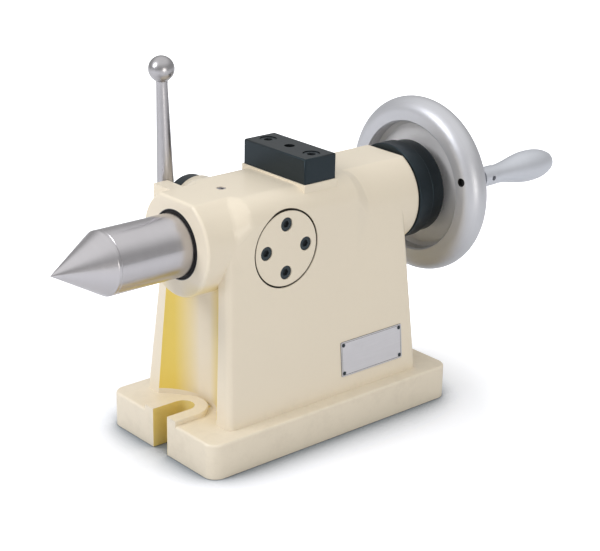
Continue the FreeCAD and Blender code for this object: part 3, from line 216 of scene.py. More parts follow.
class TAILSTOCK_PG_metal(bpy.types.PropertyGroup):
    steel: bpy.props.FloatVectorProperty(
        name="Steel", description="Colour of ground steel", subtype="COLOR",
        default=(0.53, 0.515, 0.53), min=0, max=1)
    lever: bpy.props.FloatVectorProperty(
        name="Lever", description="Colour of the clamp lever", subtype="COLOR",
        default=(0.44, 0.43, 0.44), min=0, max=1)
    aluminium: bpy.props.FloatVectorProperty(
        name="Aluminium", description="Colour of the handwheel", subtype="COLOR",
        default=(0.58, 0.585, 0.61), min=0, max=1)
    grip: bpy.props.FloatVectorProperty(
        name="Grip", description="Colour of the crank handle", subtype="COLOR",
        default=(0.61, 0.63, 0.675), min=0, max=1)
    plate: bpy.props.FloatVectorProperty(
        name="Plate", description="Colour of the blank plate", subtype="COLOR",
        default=(0.64, 0.63, 0.65), min=0, max=1)
    bronze: bpy.props.FloatVectorProperty(
        name="Bronze", description="Colour of the feed nut and the clamp shoe", subtype="COLOR",
        default=(0.50, 0.30, 0.13), min=0, max=1)
    black: bpy.props.FloatVectorProperty(
        name="Black", description="Colour of blackened steel", subtype="COLOR",
        default=(0.010, 0.011, 0.012), min=0, max=1)
    tool_mark: bpy.props.FloatProperty(
        name="Tool marks", description="Spacing of the marks on turned faces",
        default=0.0006, min=0.00005, max=0.01, unit="LENGTH")


class TAILSTOCK_PG_fittings(bpy.types.PropertyGroup):
    edge: bpy.props.FloatProperty(
        name="Edge", description="Width of the broken edge on blackened and turned pieces",
        default=0.0004, min=0, max=0.002, unit="LENGTH")
    tip: bpy.props.FloatProperty(
        name="Tip", description="Radius left at the centre's point", default=0.0003,
        min=0.00005, max=0.002, unit="LENGTH")
    plate_corner: bpy.props.FloatProperty(
        name="Plate corner", description="Radius of the plate's corners", default=0.0016,
        min=0.0005, max=0.01, unit="LENGTH")
    plate_rim: bpy.props.FloatProperty(
        name="Plate rim", description="Width of the raised rim round the plate", default=0.0011,
        min=0.0003, max=0.003, unit="LENGTH")
    nut_chamfer: bpy.props.FloatProperty(
        name="Nut chamfer", description="Radius of the round ends of the nut's flats",
        default=0.0122, min=0.010, max=0.0138, unit="LENGTH")
    steps: bpy.props.IntProperty(
        name="Steps", description="Facets round each turned piece", default=128, min=24, max=512)


class TAILSTOCK_PG_stage(bpy.types.PropertyGroup):
    floor: bpy.props.FloatVectorProperty(
        name="Floor", description="Colour of the floor under the part", subtype="COLOR",
        default=(0.78, 0.79, 0.82), min=0, max=1)
    glow: bpy.props.FloatProperty(
        name="Floor glow", description="White that the camera sees added to the floor near the part",
        default=0.36, min=0, max=1)
    mirrored: bpy.props.FloatProperty(
        name="Mirrored white", description="Share of the white background that metal reflects",
        default=0.20, min=0, max=1)
    key_power: bpy.props.FloatProperty(
        name="Key light", description="Power of the large lamp on the left", default=21.0,
        min=0, max=500, unit="POWER")
    fill_power: bpy.props.FloatProperty(
        name="Fill light", description="Power of the low lamp in front", default=8.8,
        min=0, max=500, unit="POWER")
    sky: bpy.props.FloatProperty(
        name="Sky", description="Strength of the light from above", default=1.08, min=0, max=3)
    horizon: bpy.props.FloatProperty(
        name="Horizon", description="Strength of the light from the sides", default=0.34,
        min=0, max=3)


def paint():
    return bpy.context.scene.tailstock_paint


def metal():
    return bpy.context.scene.tailstock_metal


def fittings():
    return bpy.context.scene.tailstock_fittings


def stage():
    return bpy.context.scene.tailstock_stage


# Where the casting, the handwheel and the handle have the forms that the finishes follow, in metres

SCOOP_AWAY, SCOOP_RADIUS = 0.155, 0.0573
SCOOP_MOUTH, LAND_TOP = 0.150, 0.0401
SLOT_HALF, SLOT_START, SLOT_TOP = 0.0113, 0.10, 0.0399
CAP_X, CAP_Z = -0.0452, 0.1951
CAP_GAP_INSIDE, CAP_GAP_OUTSIDE = 0.03605, 0.0382
CAP_GAP_FRONT, CAP_GAP_BACK = -0.0528, -0.030
KEY_SLOT_HALF, KEY_SLOT_TOP = 0.0092, 0.0072
BORE_RADIUS = 0.0334
GROUND_TOP = 0.0003
DISH_RADIUS = 0.0655
STUD_HOLE_RADIUS, STUD_HOLE_END = 0.0043, 0.172


# Finishes

def axis_distance(x, y, z):
    """Distance from the quill's axis."""
    level = z - AXIS
    return (y * y + level * level).power(0.5)


def cream_finish():
    """Sprayed machine enamel over cast iron, left bare on the ground underside and in the bores.

    The paint has soft clouds, a fine ripple and slow filler waves. Painted shade deepens and yellows
    its tone in the scoops and slots, and painted shade darkens the gap round the side cap. A scoop is
    the inside of an upright cylinder whose middle lies SCOOP_AWAY from the part's. Bare places are those
    on the ground bottom face, in the key slot, or nearer to the quill's axis than the bore's wall.
    """
    look = paint()
    cream = tuple(look.cream)
    finish = Finish("cream_enamel", Specular_IOR_Level=0.5, Coat_Roughness=0.16)
    x, y, z = finish.parts()
    away = x.size()
    aside = y.size()
    clouds = finish.noise(7.0, detail=4.0)
    specks = finish.noise(240.0, detail=2.0)
    tone = (clouds * 0.75 + specks * 0.25).clamped()
    colour = finish.mix(tone, solid(cream, 0.965), solid(cream, 1.035))
    grime = z.rise(0.052, 0.036) * finish.noise(55.0, detail=5.0, roughness=0.7).rise(0.48, 0.85)
    colour = finish.mix(grime * 0.16, colour, (0.30, 0.24, 0.15, 1.0))
    cut = away - SCOOP_AWAY
    round_cut = (cut * cut + y * y).power(0.5).below(SCOOP_RADIUS)
    scoop = round_cut * away.below(SCOOP_MOUTH) * z.above(LAND_TOP)
    walls = aside.rise(0.008, 0.034) * z.rise(0.175, 0.150)
    slot = aside.below(SLOT_HALF) * away.above(SLOT_START) * z.below(SLOT_TOP)
    # Painted shade: the scoops and the slot take the deeper, yellower recess colour
    depth = (scoop * walls * 0.95 + slot * 0.75).clamped()
    colour = finish.mix(depth, colour, solid(tuple(look.recess_shade)))
    # Painted shade: the ring of the gap round the side cap is painted nearly black
    cap_x, cap_z = x - CAP_X, z - CAP_Z
    rim = (cap_x * cap_x + cap_z * cap_z).power(0.5)
    ring = rim.above(CAP_GAP_INSIDE) * rim.below(CAP_GAP_OUTSIDE)
    gap = ring * y.above(CAP_GAP_FRONT) * y.below(CAP_GAP_BACK)
    colour = finish.mix(gap * 0.9, colour, (0.03, 0.022, 0.012, 1.0))
    key_slot = aside.below(KEY_SLOT_HALF) * z.below(KEY_SLOT_TOP)
    bore = axis_distance(x, y, z).below(BORE_RADIUS)
    bare = (z.below(GROUND_TOP) + key_slot + bore).clamped()
    ground = finish.noise(300.0, detail=2.0, stretch=(0.04, 1.0, 1.0))
    iron = finish.mix(ground, solid(tuple(look.iron), 0.75), solid(tuple(look.iron), 1.25))
    finish.set("Base Color", finish.mix(bare, colour, iron))
    finish.set("Metallic", bare * 0.9)
    finish.set("Roughness", (clouds * 0.12 + (look.roughness - 0.06) - bare * 0.05).clamped())
    finish.set("Coat Weight", (1.0 - bare) * 0.30)
    finish.bump(finish.noise(24.0, detail=2.0), look.waviness)
    finish.bump(finish.noise(650.0, detail=2.0, roughness=0.6), look.orange_peel)
    return finish.material


def turned_finish(name, colour, roughness, along=0, spread=0.16, contrast=0.13, polished=None,
                  stud_hole_shade=False, **settings):
    """Metal cut on a lathe: fine and broad rings whose places run along the turning axis.

    Where polished gives an inner radius, the metal further from the wheel's axis than that
    is buffed smoother and brighter; the matt dish inside it gets a lighter grey that is partly
    its turned finish and partly painted light against the shade of the rim. Inside a stud hole,
    round the handle's axis, painted shade turns the metal nearly black.
    """
    finish = Finish(name, **settings)
    places = finish.parts()
    pitch = metal().tool_mark
    line = finish.node("CombineXYZ", X=places[along])
    fine = finish.node("TexNoise", Vector=line, Scale=0.5 / pitch, Detail=2.0, Roughness=0.65)
    broad = finish.node("TexNoise", Vector=line, Scale=0.07 / pitch, Detail=2.0, Roughness=0.5)
    smear = finish.noise(26.0, detail=4.0, roughness=0.6)
    stretch = tuple(0.05 if axis == along else 1.0 for axis in range(3))
    scratches = finish.noise(900.0, detail=2.0, stretch=stretch)
    tone = (fine * 0.35 + broad * 0.25 + smear * 0.25 + scratches * 0.15).clamped()
    shade = finish.mix(tone, solid(colour, 1 - contrast), solid(colour, 1 + contrast))
    rough = tone * spread + (roughness - spread / 2)
    if stud_hole_shade:
        # Painted shade: the inside of the stud hole is painted nearly black
        across, up = places[1] - HANDLE[1], places[2] - HANDLE[2]
        inside = (across * across + up * up).power(0.5).below(STUD_HOLE_RADIUS)
        hole = inside * places[0].below(STUD_HOLE_END)
        shade = finish.mix(hole * 0.97, shade, (0.01, 0.01, 0.01, 1.0))
    if polished:
        buffed = axis_distance(*places).rise(polished, polished + 0.0006)
        rough = rough - buffed * 0.08
        # The dish's lighter grey is partly its matt turned finish and partly painted light making up for
        # the rim's shade
        matt_and_painted_light = finish.mix(tone, (0.70, 0.69, 0.68, 1.0), (0.84, 0.825, 0.815, 1.0))
        shade = finish.mix(buffed, matt_and_painted_light, shade)
        finish.set("Metallic", buffed * 0.5 + 0.2)
    finish.set("Base Color", shade)
    finish.set("Roughness", rough.clamped())
    finish.bump(fine, 0.000012)
    finish.bump(scratches, 0.000006)
    return finish.material


def black_finish(name, roughness, factor=1.0):
    """Blackened steel: dark and a little oily, with milling marks and faint cloudy stains."""
    colour = tuple(metal().black)
    finish = Finish(name, Specular_IOR_Level=0.38, Coat_Weight=0.03, Coat_Roughness=0.24,
                    Specular_Tint=(0.5, 0.82, 1.0, 1.0))
    clouds = finish.noise(45.0, detail=5.0, roughness=0.65)
    marks = finish.noise(700.0, detail=2.0, stretch=(1.0, 0.04, 1.0))
    tone = (clouds * 0.6 + marks * 0.4).clamped()
    finish.set("Base Color", finish.mix(tone, solid(colour, 0.6 * factor), solid(colour, 1.8 * factor)))
    finish.set("Roughness", (tone * 0.26 + (roughness - 0.13)).clamped())
    finish.bump(marks, 0.00002)
    return finish.material


def rubber_finish():
    """The wiper ring's dull rubber, with a fine moulded grain."""
    finish = Finish("wiper_rubber", Specular_IOR_Level=0.3)
    grain = finish.noise(900.0, detail=3.0)
    finish.set("Base Color", finish.mix(grain, (0.008, 0.008, 0.009, 1.0), (0.026, 0.025, 0.026, 1.0)))
    finish.set("Roughness", grain * 0.2 + 0.55)
    finish.bump(grain, 0.00002)
    return finish.material


def plate_finish():
    """Satin aluminium sheet, brushed along its length, with a thin dark line inside the rim.

    The line follows the piece's own map, whose first number is the distance from the edge.
    """
    colour = tuple(metal().plate)
    finish = Finish("blank_plate", Metallic=0.55)
    brushed = finish.noise(800.0, detail=2.0, stretch=(0.03, 1.0, 1.0))
    clouds = finish.noise(70.0, detail=3.0)
    tone = (brushed * 0.5 + clouds * 0.5).clamped()
    edge, _, _ = finish.parts(finish.node("UVMap"))
    line = edge.above(0.0012) * edge.below(0.0017) + edge.below(0.0002)
    silver = finish.mix(tone, solid(colour, 0.9), solid(colour, 1.1))
    finish.set("Base Color", finish.mix(line.clamped() * 0.8, silver, (0.07, 0.06, 0.05, 1.0)))
    finish.set("Roughness", (tone * 0.2 + 0.3).clamped())
    finish.bump(brushed, 0.00001)
    return finish.material


MATERIALS = {}


def finishes():
    """Makes each finish once."""
    if not MATERIALS:
        look = metal()
        steel, aluminium, grip = tuple(look.steel), tuple(look.aluminium), tuple(look.grip)
        MATERIALS.update(
            cream=cream_finish(),
            steel=turned_finish("ground_steel", steel, 0.25, Metallic=1.0),
            steel_up=turned_finish("lever_steel", tuple(look.lever), 0.30, along=2, Metallic=1.0),
            steel_small=turned_finish("bright_fittings", steel, 0.34, Metallic=1.0),
            aluminium=turned_finish("wheel_aluminium", aluminium, 0.52, polished=DISH_RADIUS,
                                    stud_hole_shade=True),
            grip=turned_finish("handle_grey", grip, 0.42, contrast=0.07, stud_hole_shade=True, Metallic=0.5),
            bronze=turned_finish("bearing_bronze", tuple(look.bronze), 0.35, Metallic=1.0),
            black=black_finish("black_oxide", 0.36),
            bolt=black_finish("black_bolts", 0.42, factor=2.6),
            rubber=rubber_finish(),
            plate=plate_finish(),
        )
    return MATERIALS


# Surfaces

def eased(corners, cuts, closed=False, steps=6):
    """A line of corners with each corner rounded off.

    Between the points one cut's length before and after a corner, the line follows the
    parabola that has the corner as its control point: (1-s)^2 before + 2s(1-s) corner +
    s^2 after, for s from 0 to 1. Repeated points are left out, but never an open line's first.
    """
    corners = np.asarray(corners, dtype=float)
    cuts = np.broadcast_to(cuts, len(corners))[:, None]
    behind, ahead = np.roll(corners, 1, axis=0), np.roll(corners, -1, axis=0)
    if not closed:
        behind[0], ahead[-1] = corners[0], corners[-1]
    share = np.linspace(0, 1, steps)[None, :, None]
    ends = [corners + cuts * unit(other - corners) for other in (behind, ahead)]
    before, after, middle = ends[0][:, None], ends[1][:, None], corners[:, None]
    line = (1 - share) ** 2 * before + 2 * share * (1 - share) * middle + share ** 2 * after
    line = line.reshape(-1, 2)
    length = np.linalg.norm(line - np.roll(line, 1, axis=0), axis=1)
    if not closed:
        length[0] = 1.0
    return line[length > 1e-7]


def unit(vectors):
    length = np.linalg.norm(vectors, axis=-1, keepdims=True)
    return vectors / np.maximum(length, 1e-12)


def lathe(profile, start, direction=(1.0, 0.0, 0.0), turns=None, limit=None):
    """Carries a profile of (distance, radius) rows round the line from start along direction.

    The point at row and turn t is start + distance * direction + radius * (cos t * side +
    sin t * up). The limit, a radius for each turn, cuts the rows down to its outline.
    """
    direction = unit(np.asarray(direction, dtype=float))
    side = unit(np.cross(direction, (0.0, 1.0, 0.0)))
    up = np.cross(side, direction)
    turn = np.linspace(0, 2 * np.pi, turns or fittings().steps, endpoint=False)
    profile = np.asarray(profile, dtype=float)
    distance, radius = profile[:, :1, None], np.broadcast_to(profile[:, 1:], (len(profile), len(turn)))
    if limit is not None:
        radius = np.minimum(radius, limit(turn))
    spoke = np.cos(turn)[:, None] * side + np.sin(turn)[:, None] * up
    return np.asarray(start) + distance * direction + radius[..., None] * spoke


def closed_surface(grid, poles=None):
    """Points and faces of a grid (row, column) whose columns meet.

    A cell joins four neighbours. The rows meet too, unless two poles close the ends with a
    fan of triangles each. The faces look outwards: the sum over all triangles of a . (b x c)
    is positive, or else every face is turned over.
    """
    rows, columns = grid.shape[:2]
    row, column = np.meshgrid(np.arange(rows - (poles is not None)), np.arange(columns), indexing="ij")
    below, after = (row + 1) % rows * columns, (column + 1) % columns
    row = row * columns
    quads = np.stack([row + column, below + column, below + after, row + after], axis=-1).reshape(-1, 4)
    points = grid.reshape(-1, 3)
    fans = np.zeros((0, 3), dtype=int)
    if poles is not None:
        here = np.arange(columns)
        following = (here + 1) % columns
        last = (rows - 1) * columns
        fans = np.vstack([
            np.stack([0 * here + len(points), here, following], axis=-1),
            np.stack([0 * here + len(points) + 1, last + following, last + here], axis=-1),
        ])
        points = np.vstack([points, poles])
    triangles = np.vstack([quads[:, :3], quads[:, [0, 2, 3]], fans])
    a, b, c = (points[triangles[:, corner]] for corner in range(3))
    if np.einsum("ij,ij->", a, np.cross(b, c)) < 0:
        quads, fans = quads[:, ::-1], fans[:, ::-1]
    return points, [*quads.tolist(), *fans.tolist()]


def joined(surfaces):
    """Several separate closed surfaces as one set of points and faces."""
    points, faces, count = [], [], 0
    for part_points, part_faces in surfaces:
        points.append(part_points)
        faces.extend([corner + count for corner in face] for face in part_faces)
        count += len(part_points)
    return np.vstack(points), faces


def smooth(thing, angle):
    """Shades every face smooth, splits edges sharper than the angle, and favours large faces."""
    polygons = thing.data.polygons
    polygons.foreach_set("use_smooth", np.ones(len(polygons), dtype=bool))
    split = thing.modifiers.new("sharp_edges", "EDGE_SPLIT")
    split.split_angle = math.radians(angle)
    normals = thing.modifiers.new("flat_faces", "WEIGHTED_NORMAL")
    normals.weight = 60
    normals.keep_sharp = True


def make_piece(name, surface, finish, body, slot, *nodes, angle=35.0):
    """A finished piece at the origin that rides on its body and stands for its nodes."""
    points, faces = surface
    mesh = bpy.data.meshes.new(name)
    mesh.from_pydata(points.tolist(), [], faces)
    if mesh.validate():
        raise ValueError("{} has faces that don't hold together".format(name))
    mesh.materials.append(finish)
    piece = bpy.data.objects.new(name, mesh)
    bpy.context.scene.collection.objects.link(piece)
    smooth(piece, angle)
    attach(piece, body)
    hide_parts(*nodes)
    return piece


def axis_line(node):
    """Where a turned node starts, ends and lies, from its box: x from, x to, y, z, radius."""
    low, high = (np.asarray(corner, dtype=float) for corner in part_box(node))
    middle = (low + high) / 2
    return low[0], high[0], middle[1], middle[2], (high[2] - low[2]) / 2


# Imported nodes

NODE_FINISH = {
    "cream": ("body_casting", "side_cap"),
    "black": ("top_block", "rear_flange", "feed_dial", "clamp_hub"),
    "bolt": ("side_cap_screws", "guide_key_screw", "top_block_screws", "rear_flange_screws",
             "feed_nut_screws", "dial_set_screw", "handle_end_screw", "hub_set_screw"),
    "steel": ("quill",),
    "steel_small": ("oil_plug", "guide_key", "thrust_bearing_front", "thrust_bearing_rear",
                    "bearing_retainer", "feed_screw", "wheel_key", "wheel_washer", "clamp_spindle"),
    "aluminium": ("handwheel",),
    "grip": ("handle_stud",),
    "bronze": ("clamp_shoe", "feed_nut"),
}
BROKEN_EDGES = ("top_block", "clamp_hub", "rear_flange", "feed_dial")


class TAILSTOCK_OT_packed_nodes(bpy.types.Operator):
    """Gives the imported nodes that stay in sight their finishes, smooth shading and broken edges"""

    bl_idname = "tailstock.packed_nodes"
    bl_label = "Packed nodes"

    def execute(self, context):
        made = finishes()
        for name, nodes in NODE_FINISH.items():
            for node in nodes:
                self.dress(NODES[node], made[name], node in BROKEN_EDGES)
        return {"FINISHED"}

    def dress(self, thing, finish, broken):
        thing.data.materials.clear()
        thing.data.materials.append(finish)
        weld = thing.modifiers.new("weld", "WELD")
        weld.merge_threshold = 0.000002
        if broken:
            edge = thing.modifiers.new("broken_edges", "BEVEL")
            edge.width = fittings().edge
            edge.segments = 2
            edge.limit_method = "ANGLE"
            edge.angle_limit = math.radians(40)
            edge.use_clamp_overlap = True
        smooth(thing, 38.0)


# New pieces

class TAILSTOCK_OT_centre(bpy.types.Operator):
    """The 60 degree point with its collar and taper shank, turned from one profile"""

    bl_idname = "tailstock.centre"
    bl_label = "Centre"

    def execute(self, context):
        tip, end, y, z, radius = axis_line("centre")
        blunt, cone_end, cone_length = fittings().tip, 0.0512, 0.052
        face, shank_start, shank_end, shank_tip = tip + 0.05498, 0.01558, 0.01309, 0.011
        slope = radius / cone_length
        cone = np.linspace(blunt, cone_end, 40)
        nose = np.linspace(0.15, 1.0, 5) * blunt
        profile = np.vstack([
            np.stack([tip + nose * 0.5, nose * slope], axis=-1)[:-1],
            np.stack([tip + cone, cone * slope], axis=-1),
            eased([(tip + cone_end, cone_end * slope), (tip + cone_length, radius), (face, radius),
                   (face, shank_start), (end, shank_end), (end, shank_tip)],
                  [0, 0.0004, 0.0003, 0.0002, 0.0008, 0])[1:],
        ])
        poles = [(tip + 0.00001, y, z), (end, y, z)]
        surface = closed_surface(lathe(profile, (0, y, z)), poles)
        make_piece("point_centre", surface, finishes()["steel"], "quill_group", "bright_steel", "centre")
        return {"FINISHED"}


class TAILSTOCK_OT_wiper(bpy.types.Operator):
    """The wiper ring at the mouth of the bore, with a raised lip against the quill"""

    bl_idname = "tailstock.wiper"
    bl_label = "Wiper"

    def execute(self, context):
        front, rear, y, z, radius = axis_line("quill_wiper")
        bore, groove = 0.03005, 0.0009
        profile = eased([
            (front, radius), (front, radius - groove), (front + groove, radius - 0.0012),
            (front + groove, bore + groove), (front, bore + 0.0006), (front, bore),
            (rear, bore), (rear, radius),
        ], 0.0002, closed=True)
        surface = closed_surface(lathe(profile, (0, y, z)))
        make_piece("wiper_ring", surface, finishes()["rubber"], "base", "black_rubber", "quill_wiper")
        return {"FINISHED"}


class TAILSTOCK_OT_lever(bpy.types.Operator):
    """The clamp lever: tenon, rounded foot, slim taper and ball, on its leaning axis

    Above the foot the radius at height h is the sixth root of taper(h)^6 + ball(h)^6, so the
    ball flows into the neck.
    """

    bl_idname = "tailstock.lever"
    bl_label = "Clamp lever"

    def execute(self, context):
        low, high = (np.asarray(corner, dtype=float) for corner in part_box("clamp_lever"))
        rise, ball = 0.1376, 0.0123
        foot_top, foot_radius = 0.029, 0.008
        neck_top, neck_radius = 0.1273, 0.0053
        tenon_end, tenon_radius = -0.007, 0.0055
        lean = math.radians(1.6)
        crown = np.array([high[1], high[2]])
        top = np.array([low[0] + ball, crown[0] - ball, crown[1] - ball])
        direction = np.array([-math.sin(lean), 0.0, math.cos(lean)])
        foot = top - rise * direction
        angle = np.linspace(math.radians(24), math.radians(176), 40)
        height = np.concatenate([np.linspace(0.031, 0.1262, 30), rise - ball * np.cos(angle)])
        taper = foot_radius + (height - foot_top) * (neck_radius - foot_radius) / (neck_top - foot_top)
        sphere = np.sqrt(np.maximum(ball ** 2 - (height - rise) ** 2, 0))
        taper = np.where(height < rise, taper, 0)
        radius = (taper ** 6 + sphere ** 6) ** (1 / 6)
        base = eased([(tenon_end, 0.0045), (tenon_end, tenon_radius), (0.024, tenon_radius),
                      (0.0245, 0.0072), (foot_top, foot_radius), (0.0305, 0.00796)],
                     [0, 0.0004, 0.0002, 0.0008, 0.0012, 0])
        profile = np.vstack([base, np.stack([height, radius], axis=-1)])
        poles = [foot + tenon_end * direction, foot + (rise + ball) * direction]
        surface = closed_surface(lathe(profile, foot, direction), poles)
        make_piece("ball_lever", surface, finishes()["steel_up"], "clamp", "bright_steel", "clamp_lever")
        return {"FINISHED"}


class TAILSTOCK_OT_grip(bpy.types.Operator):
    """The crank handle's grip: slim at the collar, full past the middle, rounded at the end

    With s from 0 at the collar to 1 at the end, swell is sin(pi/2 * s/0.62) squared (1 from
    s = 0.62 on), fall is 1 - 0.42 * ((s - 0.62)/0.38)^2.6 past s = 0.62, and the radius is
    fall * (9.5 mm * (1 - swell) + 15.9 mm * swell).
    """

    bl_idname = "tailstock.grip"
    bl_label = "Crank handle"

    def execute(self, context):
        start, end, y, z, _ = axis_line("handle_grip")
        bore, seat, seat_depth = 0.00605, 0.0083, 0.005
        full, beyond, slim, thick = 0.62, 0.38, 0.0095, 0.0159
        share = np.linspace(0, 1, 72)
        swell = np.sin(np.pi / 2 * np.minimum(share / full, 1)) ** 2
        fall = 1 - 0.42 * (np.maximum(share - full, 0) / beyond) ** 2.6
        radius = fall * (slim * (1 - swell) + thick * swell)
        outer = np.stack([start + share * (end - start), radius], axis=-1)
        front = eased([(start, bore), (start, radius[0]), tuple(outer[2])], [0, 0.0004, 0])
        back = eased([tuple(outer[-3]), (end, radius[-1]), (end, seat), (end - seat_depth, seat),
                      (end - seat_depth, bore), (start, bore)], [0, 0.0012, 0.0003, 0, 0.0002, 0])
        profile = np.vstack([front[:-1], outer[2:-3], back[:-1]])
        surface = closed_surface(lathe(profile, (0, y, z)))
        make_piece("crank_grip", surface, finishes()["grip"], "grip", "handle_grey", "handle_grip")
        return {"FINISHED"}


class TAILSTOCK_OT_wheel_nut(bpy.types.Operator):
    """The wheel nut: a hexagon whose corners are cut by a cone at each end, round its bore

    At turn t the flats lie at half width / cos((t modulo 60 degrees) - 30 degrees).
    The profile's slopes near the ends are the cones, and the flats' outline cuts them down.
    """

    bl_idname = "tailstock.wheel_nut"
    bl_label = "Wheel nut"

    def execute(self, context):
        front, rear, y, z, _ = axis_line("wheel_nut")
        corner, bore, lead_in, round_end = 0.01386, 0.00802, 0.0006, fittings().nut_chamfer
        flat = corner * math.cos(math.radians(30))
        slope = np.linspace(0, 1, 7)
        depth = (corner - round_end) * math.tan(math.radians(28))
        cone = np.stack([front + depth * slope, round_end + (corner - round_end) * slope], axis=-1)
        mirror = np.stack([front + rear - cone[::-1, 0], cone[::-1, 1]], axis=-1)
        profile = np.vstack([[(front + lead_in, bore), (front, bore + lead_in)], cone, mirror,
                             [(rear, bore + lead_in), (rear - lead_in, bore)]])

        def outline(turn):
            return flat / np.cos(np.mod(turn, np.pi / 3) - np.pi / 6)

        surface = closed_surface(lathe(profile, (0, y, z), turns=144, limit=outline))
        make_piece("hex_nut", surface, finishes()["steel_small"], "wheel_group", "bright_steel",
                   "wheel_nut", angle=28.0)
        return {"FINISHED"}


# The near wall leans out from the quill's height down, and the plate lies on it

WALL_HALF_AT_AXIS = 0.050
WALL_SLOPE = 0.0154 / 0.168
PLATE_X, PLATE_Z = 0.0598, 0.0685
PLATE_UP = unit(np.array([0.0, WALL_SLOPE, 1.0]))
PLATE_OUT = unit(np.array([0.0, -1.0, WALL_SLOPE]))
PLATE_MIDDLE = np.array([PLATE_X, -(WALL_HALF_AT_AXIS + (AXIS - PLATE_Z) * WALL_SLOPE), PLATE_Z])


class TAILSTOCK_OT_nameplate(bpy.types.Operator):
    """The blank plate on the leaning near wall, with rounded corners and a raised rim

    A profile of (inset, height) rows is carried along the outline. The outline at an inset is
    the rectangle less the inset, with quarter circles of the corner radius less the inset.
    """

    bl_idname = "tailstock.nameplate"
    bl_label = "Blank plate"

    def execute(self, context):
        look = fittings()
        rim, corner = look.plate_rim, look.plate_corner
        half = np.array([0.0405, 0.01775])
        back, face, rim_top = 0.00002, 0.0007, 0.00082
        profile = eased([(0.0004, back), (0, back), (0, rim_top), (rim, rim_top),
                         (rim + 0.0002, face), (rim + 0.0012, face)],
                        [0, 0.0001, 0.0003, 0.00015, 0.0001, 0])
        turn = np.linspace(0, np.pi / 2, 9)
        quarter = np.arange(4)[:, None] * np.pi / 2 + turn
        sides = np.array([(1, 1), (-1, 1), (-1, -1), (1, -1)])
        inset, height = profile[:, 0], profile[:, 1]
        bend = np.maximum(corner - inset, 0.0002)
        middle = half - inset[:, None] - bend[:, None]
        spoke = np.stack([np.cos(quarter), np.sin(quarter)], axis=-1)
        outline = (sides[None, :, None] * middle[:, None, None] + bend[:, None, None, None] * spoke)
        outline = outline.reshape(len(profile), -1, 2)
        grid = (PLATE_MIDDLE + outline[..., :1] * np.array([1.0, 0, 0]) + outline[..., 1:] * PLATE_UP
                + height[:, None, None] * PLATE_OUT)
        poles = [PLATE_MIDDLE + profile[0, 1] * PLATE_OUT, PLATE_MIDDLE + profile[-1, 1] * PLATE_OUT]
        piece = make_piece("blank_plate", closed_surface(grid, poles), finishes()["plate"], "base",
                           "plate_silver", "nameplate")
        edge = np.concatenate([np.repeat(inset, outline.shape[1]), [0.01, 0.01]])
        corners = np.empty(len(piece.data.loops), dtype=np.int32)
        piece.data.loops.foreach_get("vertex_index", corners)
        places = np.stack([edge[corners], np.zeros(len(corners))], axis=-1)
        layer = piece.data.uv_layers.new(name="edge_distance")
        layer.data.foreach_set("uv", places.ravel())
        return {"FINISHED"}


class TAILSTOCK_OT_rivets(bpy.types.Operator):
    """Four dome rivets in the plate's corners, each a quarter circle turned round its own line"""

    bl_idname = "tailstock.rivets"
    bl_label = "Plate rivets"

    def execute(self, context):
        foot_height, dome_base, dome_rise, dome_radius = 0.00072, 0.00095, 0.00065, 0.0019
        angle = np.linspace(0, math.radians(84), 9)
        dome = np.stack([dome_base + dome_rise * np.sin(angle), dome_radius * np.cos(angle)], axis=-1)
        profile = np.vstack([[(foot_height, 0.0017), (0.00078, dome_radius)], dome])
        domes = []
        for across in (-0.037, 0.037):
            for up in (-0.01425, 0.01425):
                foot = PLATE_MIDDLE + np.array([across, 0, 0]) + up * PLATE_UP
                poles = [foot + foot_height * PLATE_OUT, foot + 0.0016 * PLATE_OUT]
                domes.append(closed_surface(lathe(profile, foot, PLATE_OUT, turns=32), poles))
        make_piece("plate_rivets", joined(domes), finishes()["bolt"], "base", "bright_steel",
                   "nameplate_rivets")
        return {"FINISHED"}


# Stage

CAMERA_PLACE = (-0.9338, -1.0909, 0.6843)
CAMERA_AZIMUTH = math.radians(48.87)
CAMERA_ELEVATION = math.radians(20.67)
CAMERA_ROLL = math.radians(-1.136)
CAMERA_LENS = 94.58


class TAILSTOCK_OT_stage(bpy.types.Operator):
    """Floor, sky, lamps and the camera that stands where the photograph was taken"""

    bl_idname = "tailstock.stage"
    bl_label = "Stage and camera"

    def execute(self, context):
        look = stage()
        make_floor(look)
        make_sky(look)
        make_lamps(look)
        make_camera(context.scene)
        context.scene.view_settings.view_transform = "Standard"
        return {"FINISHED"}


def make_camera(scene):
    """Looks along the azimuth (from +X towards +Y) and down by the elevation, then rolls a little."""
    azimuth, fall, roll = CAMERA_AZIMUTH, CAMERA_ELEVATION, CAMERA_ROLL
    level = math.cos(fall)
    forward = Vector((level * math.cos(azimuth), level * math.sin(azimuth), -math.sin(fall)))
    right = Vector((math.sin(azimuth), -math.cos(azimuth), 0.0))
    down = forward.cross(right)
    across = right * math.cos(roll) + down * math.sin(roll)
    below = -right * math.sin(roll) + down * math.cos(roll)
    data = bpy.data.cameras.new("camera")
    data.lens = CAMERA_LENS
    data.sensor_width = 36.0
    data.sensor_fit = "HORIZONTAL"
    data.clip_end = 20.0
    camera = bpy.data.objects.new("camera", data)
    turn = Matrix((across, -below, -forward)).transposed().to_4x4()
    camera.matrix_world = Matrix.Translation(CAMERA_PLACE) @ turn
    scene.collection.objects.link(camera)
    scene.camera = camera


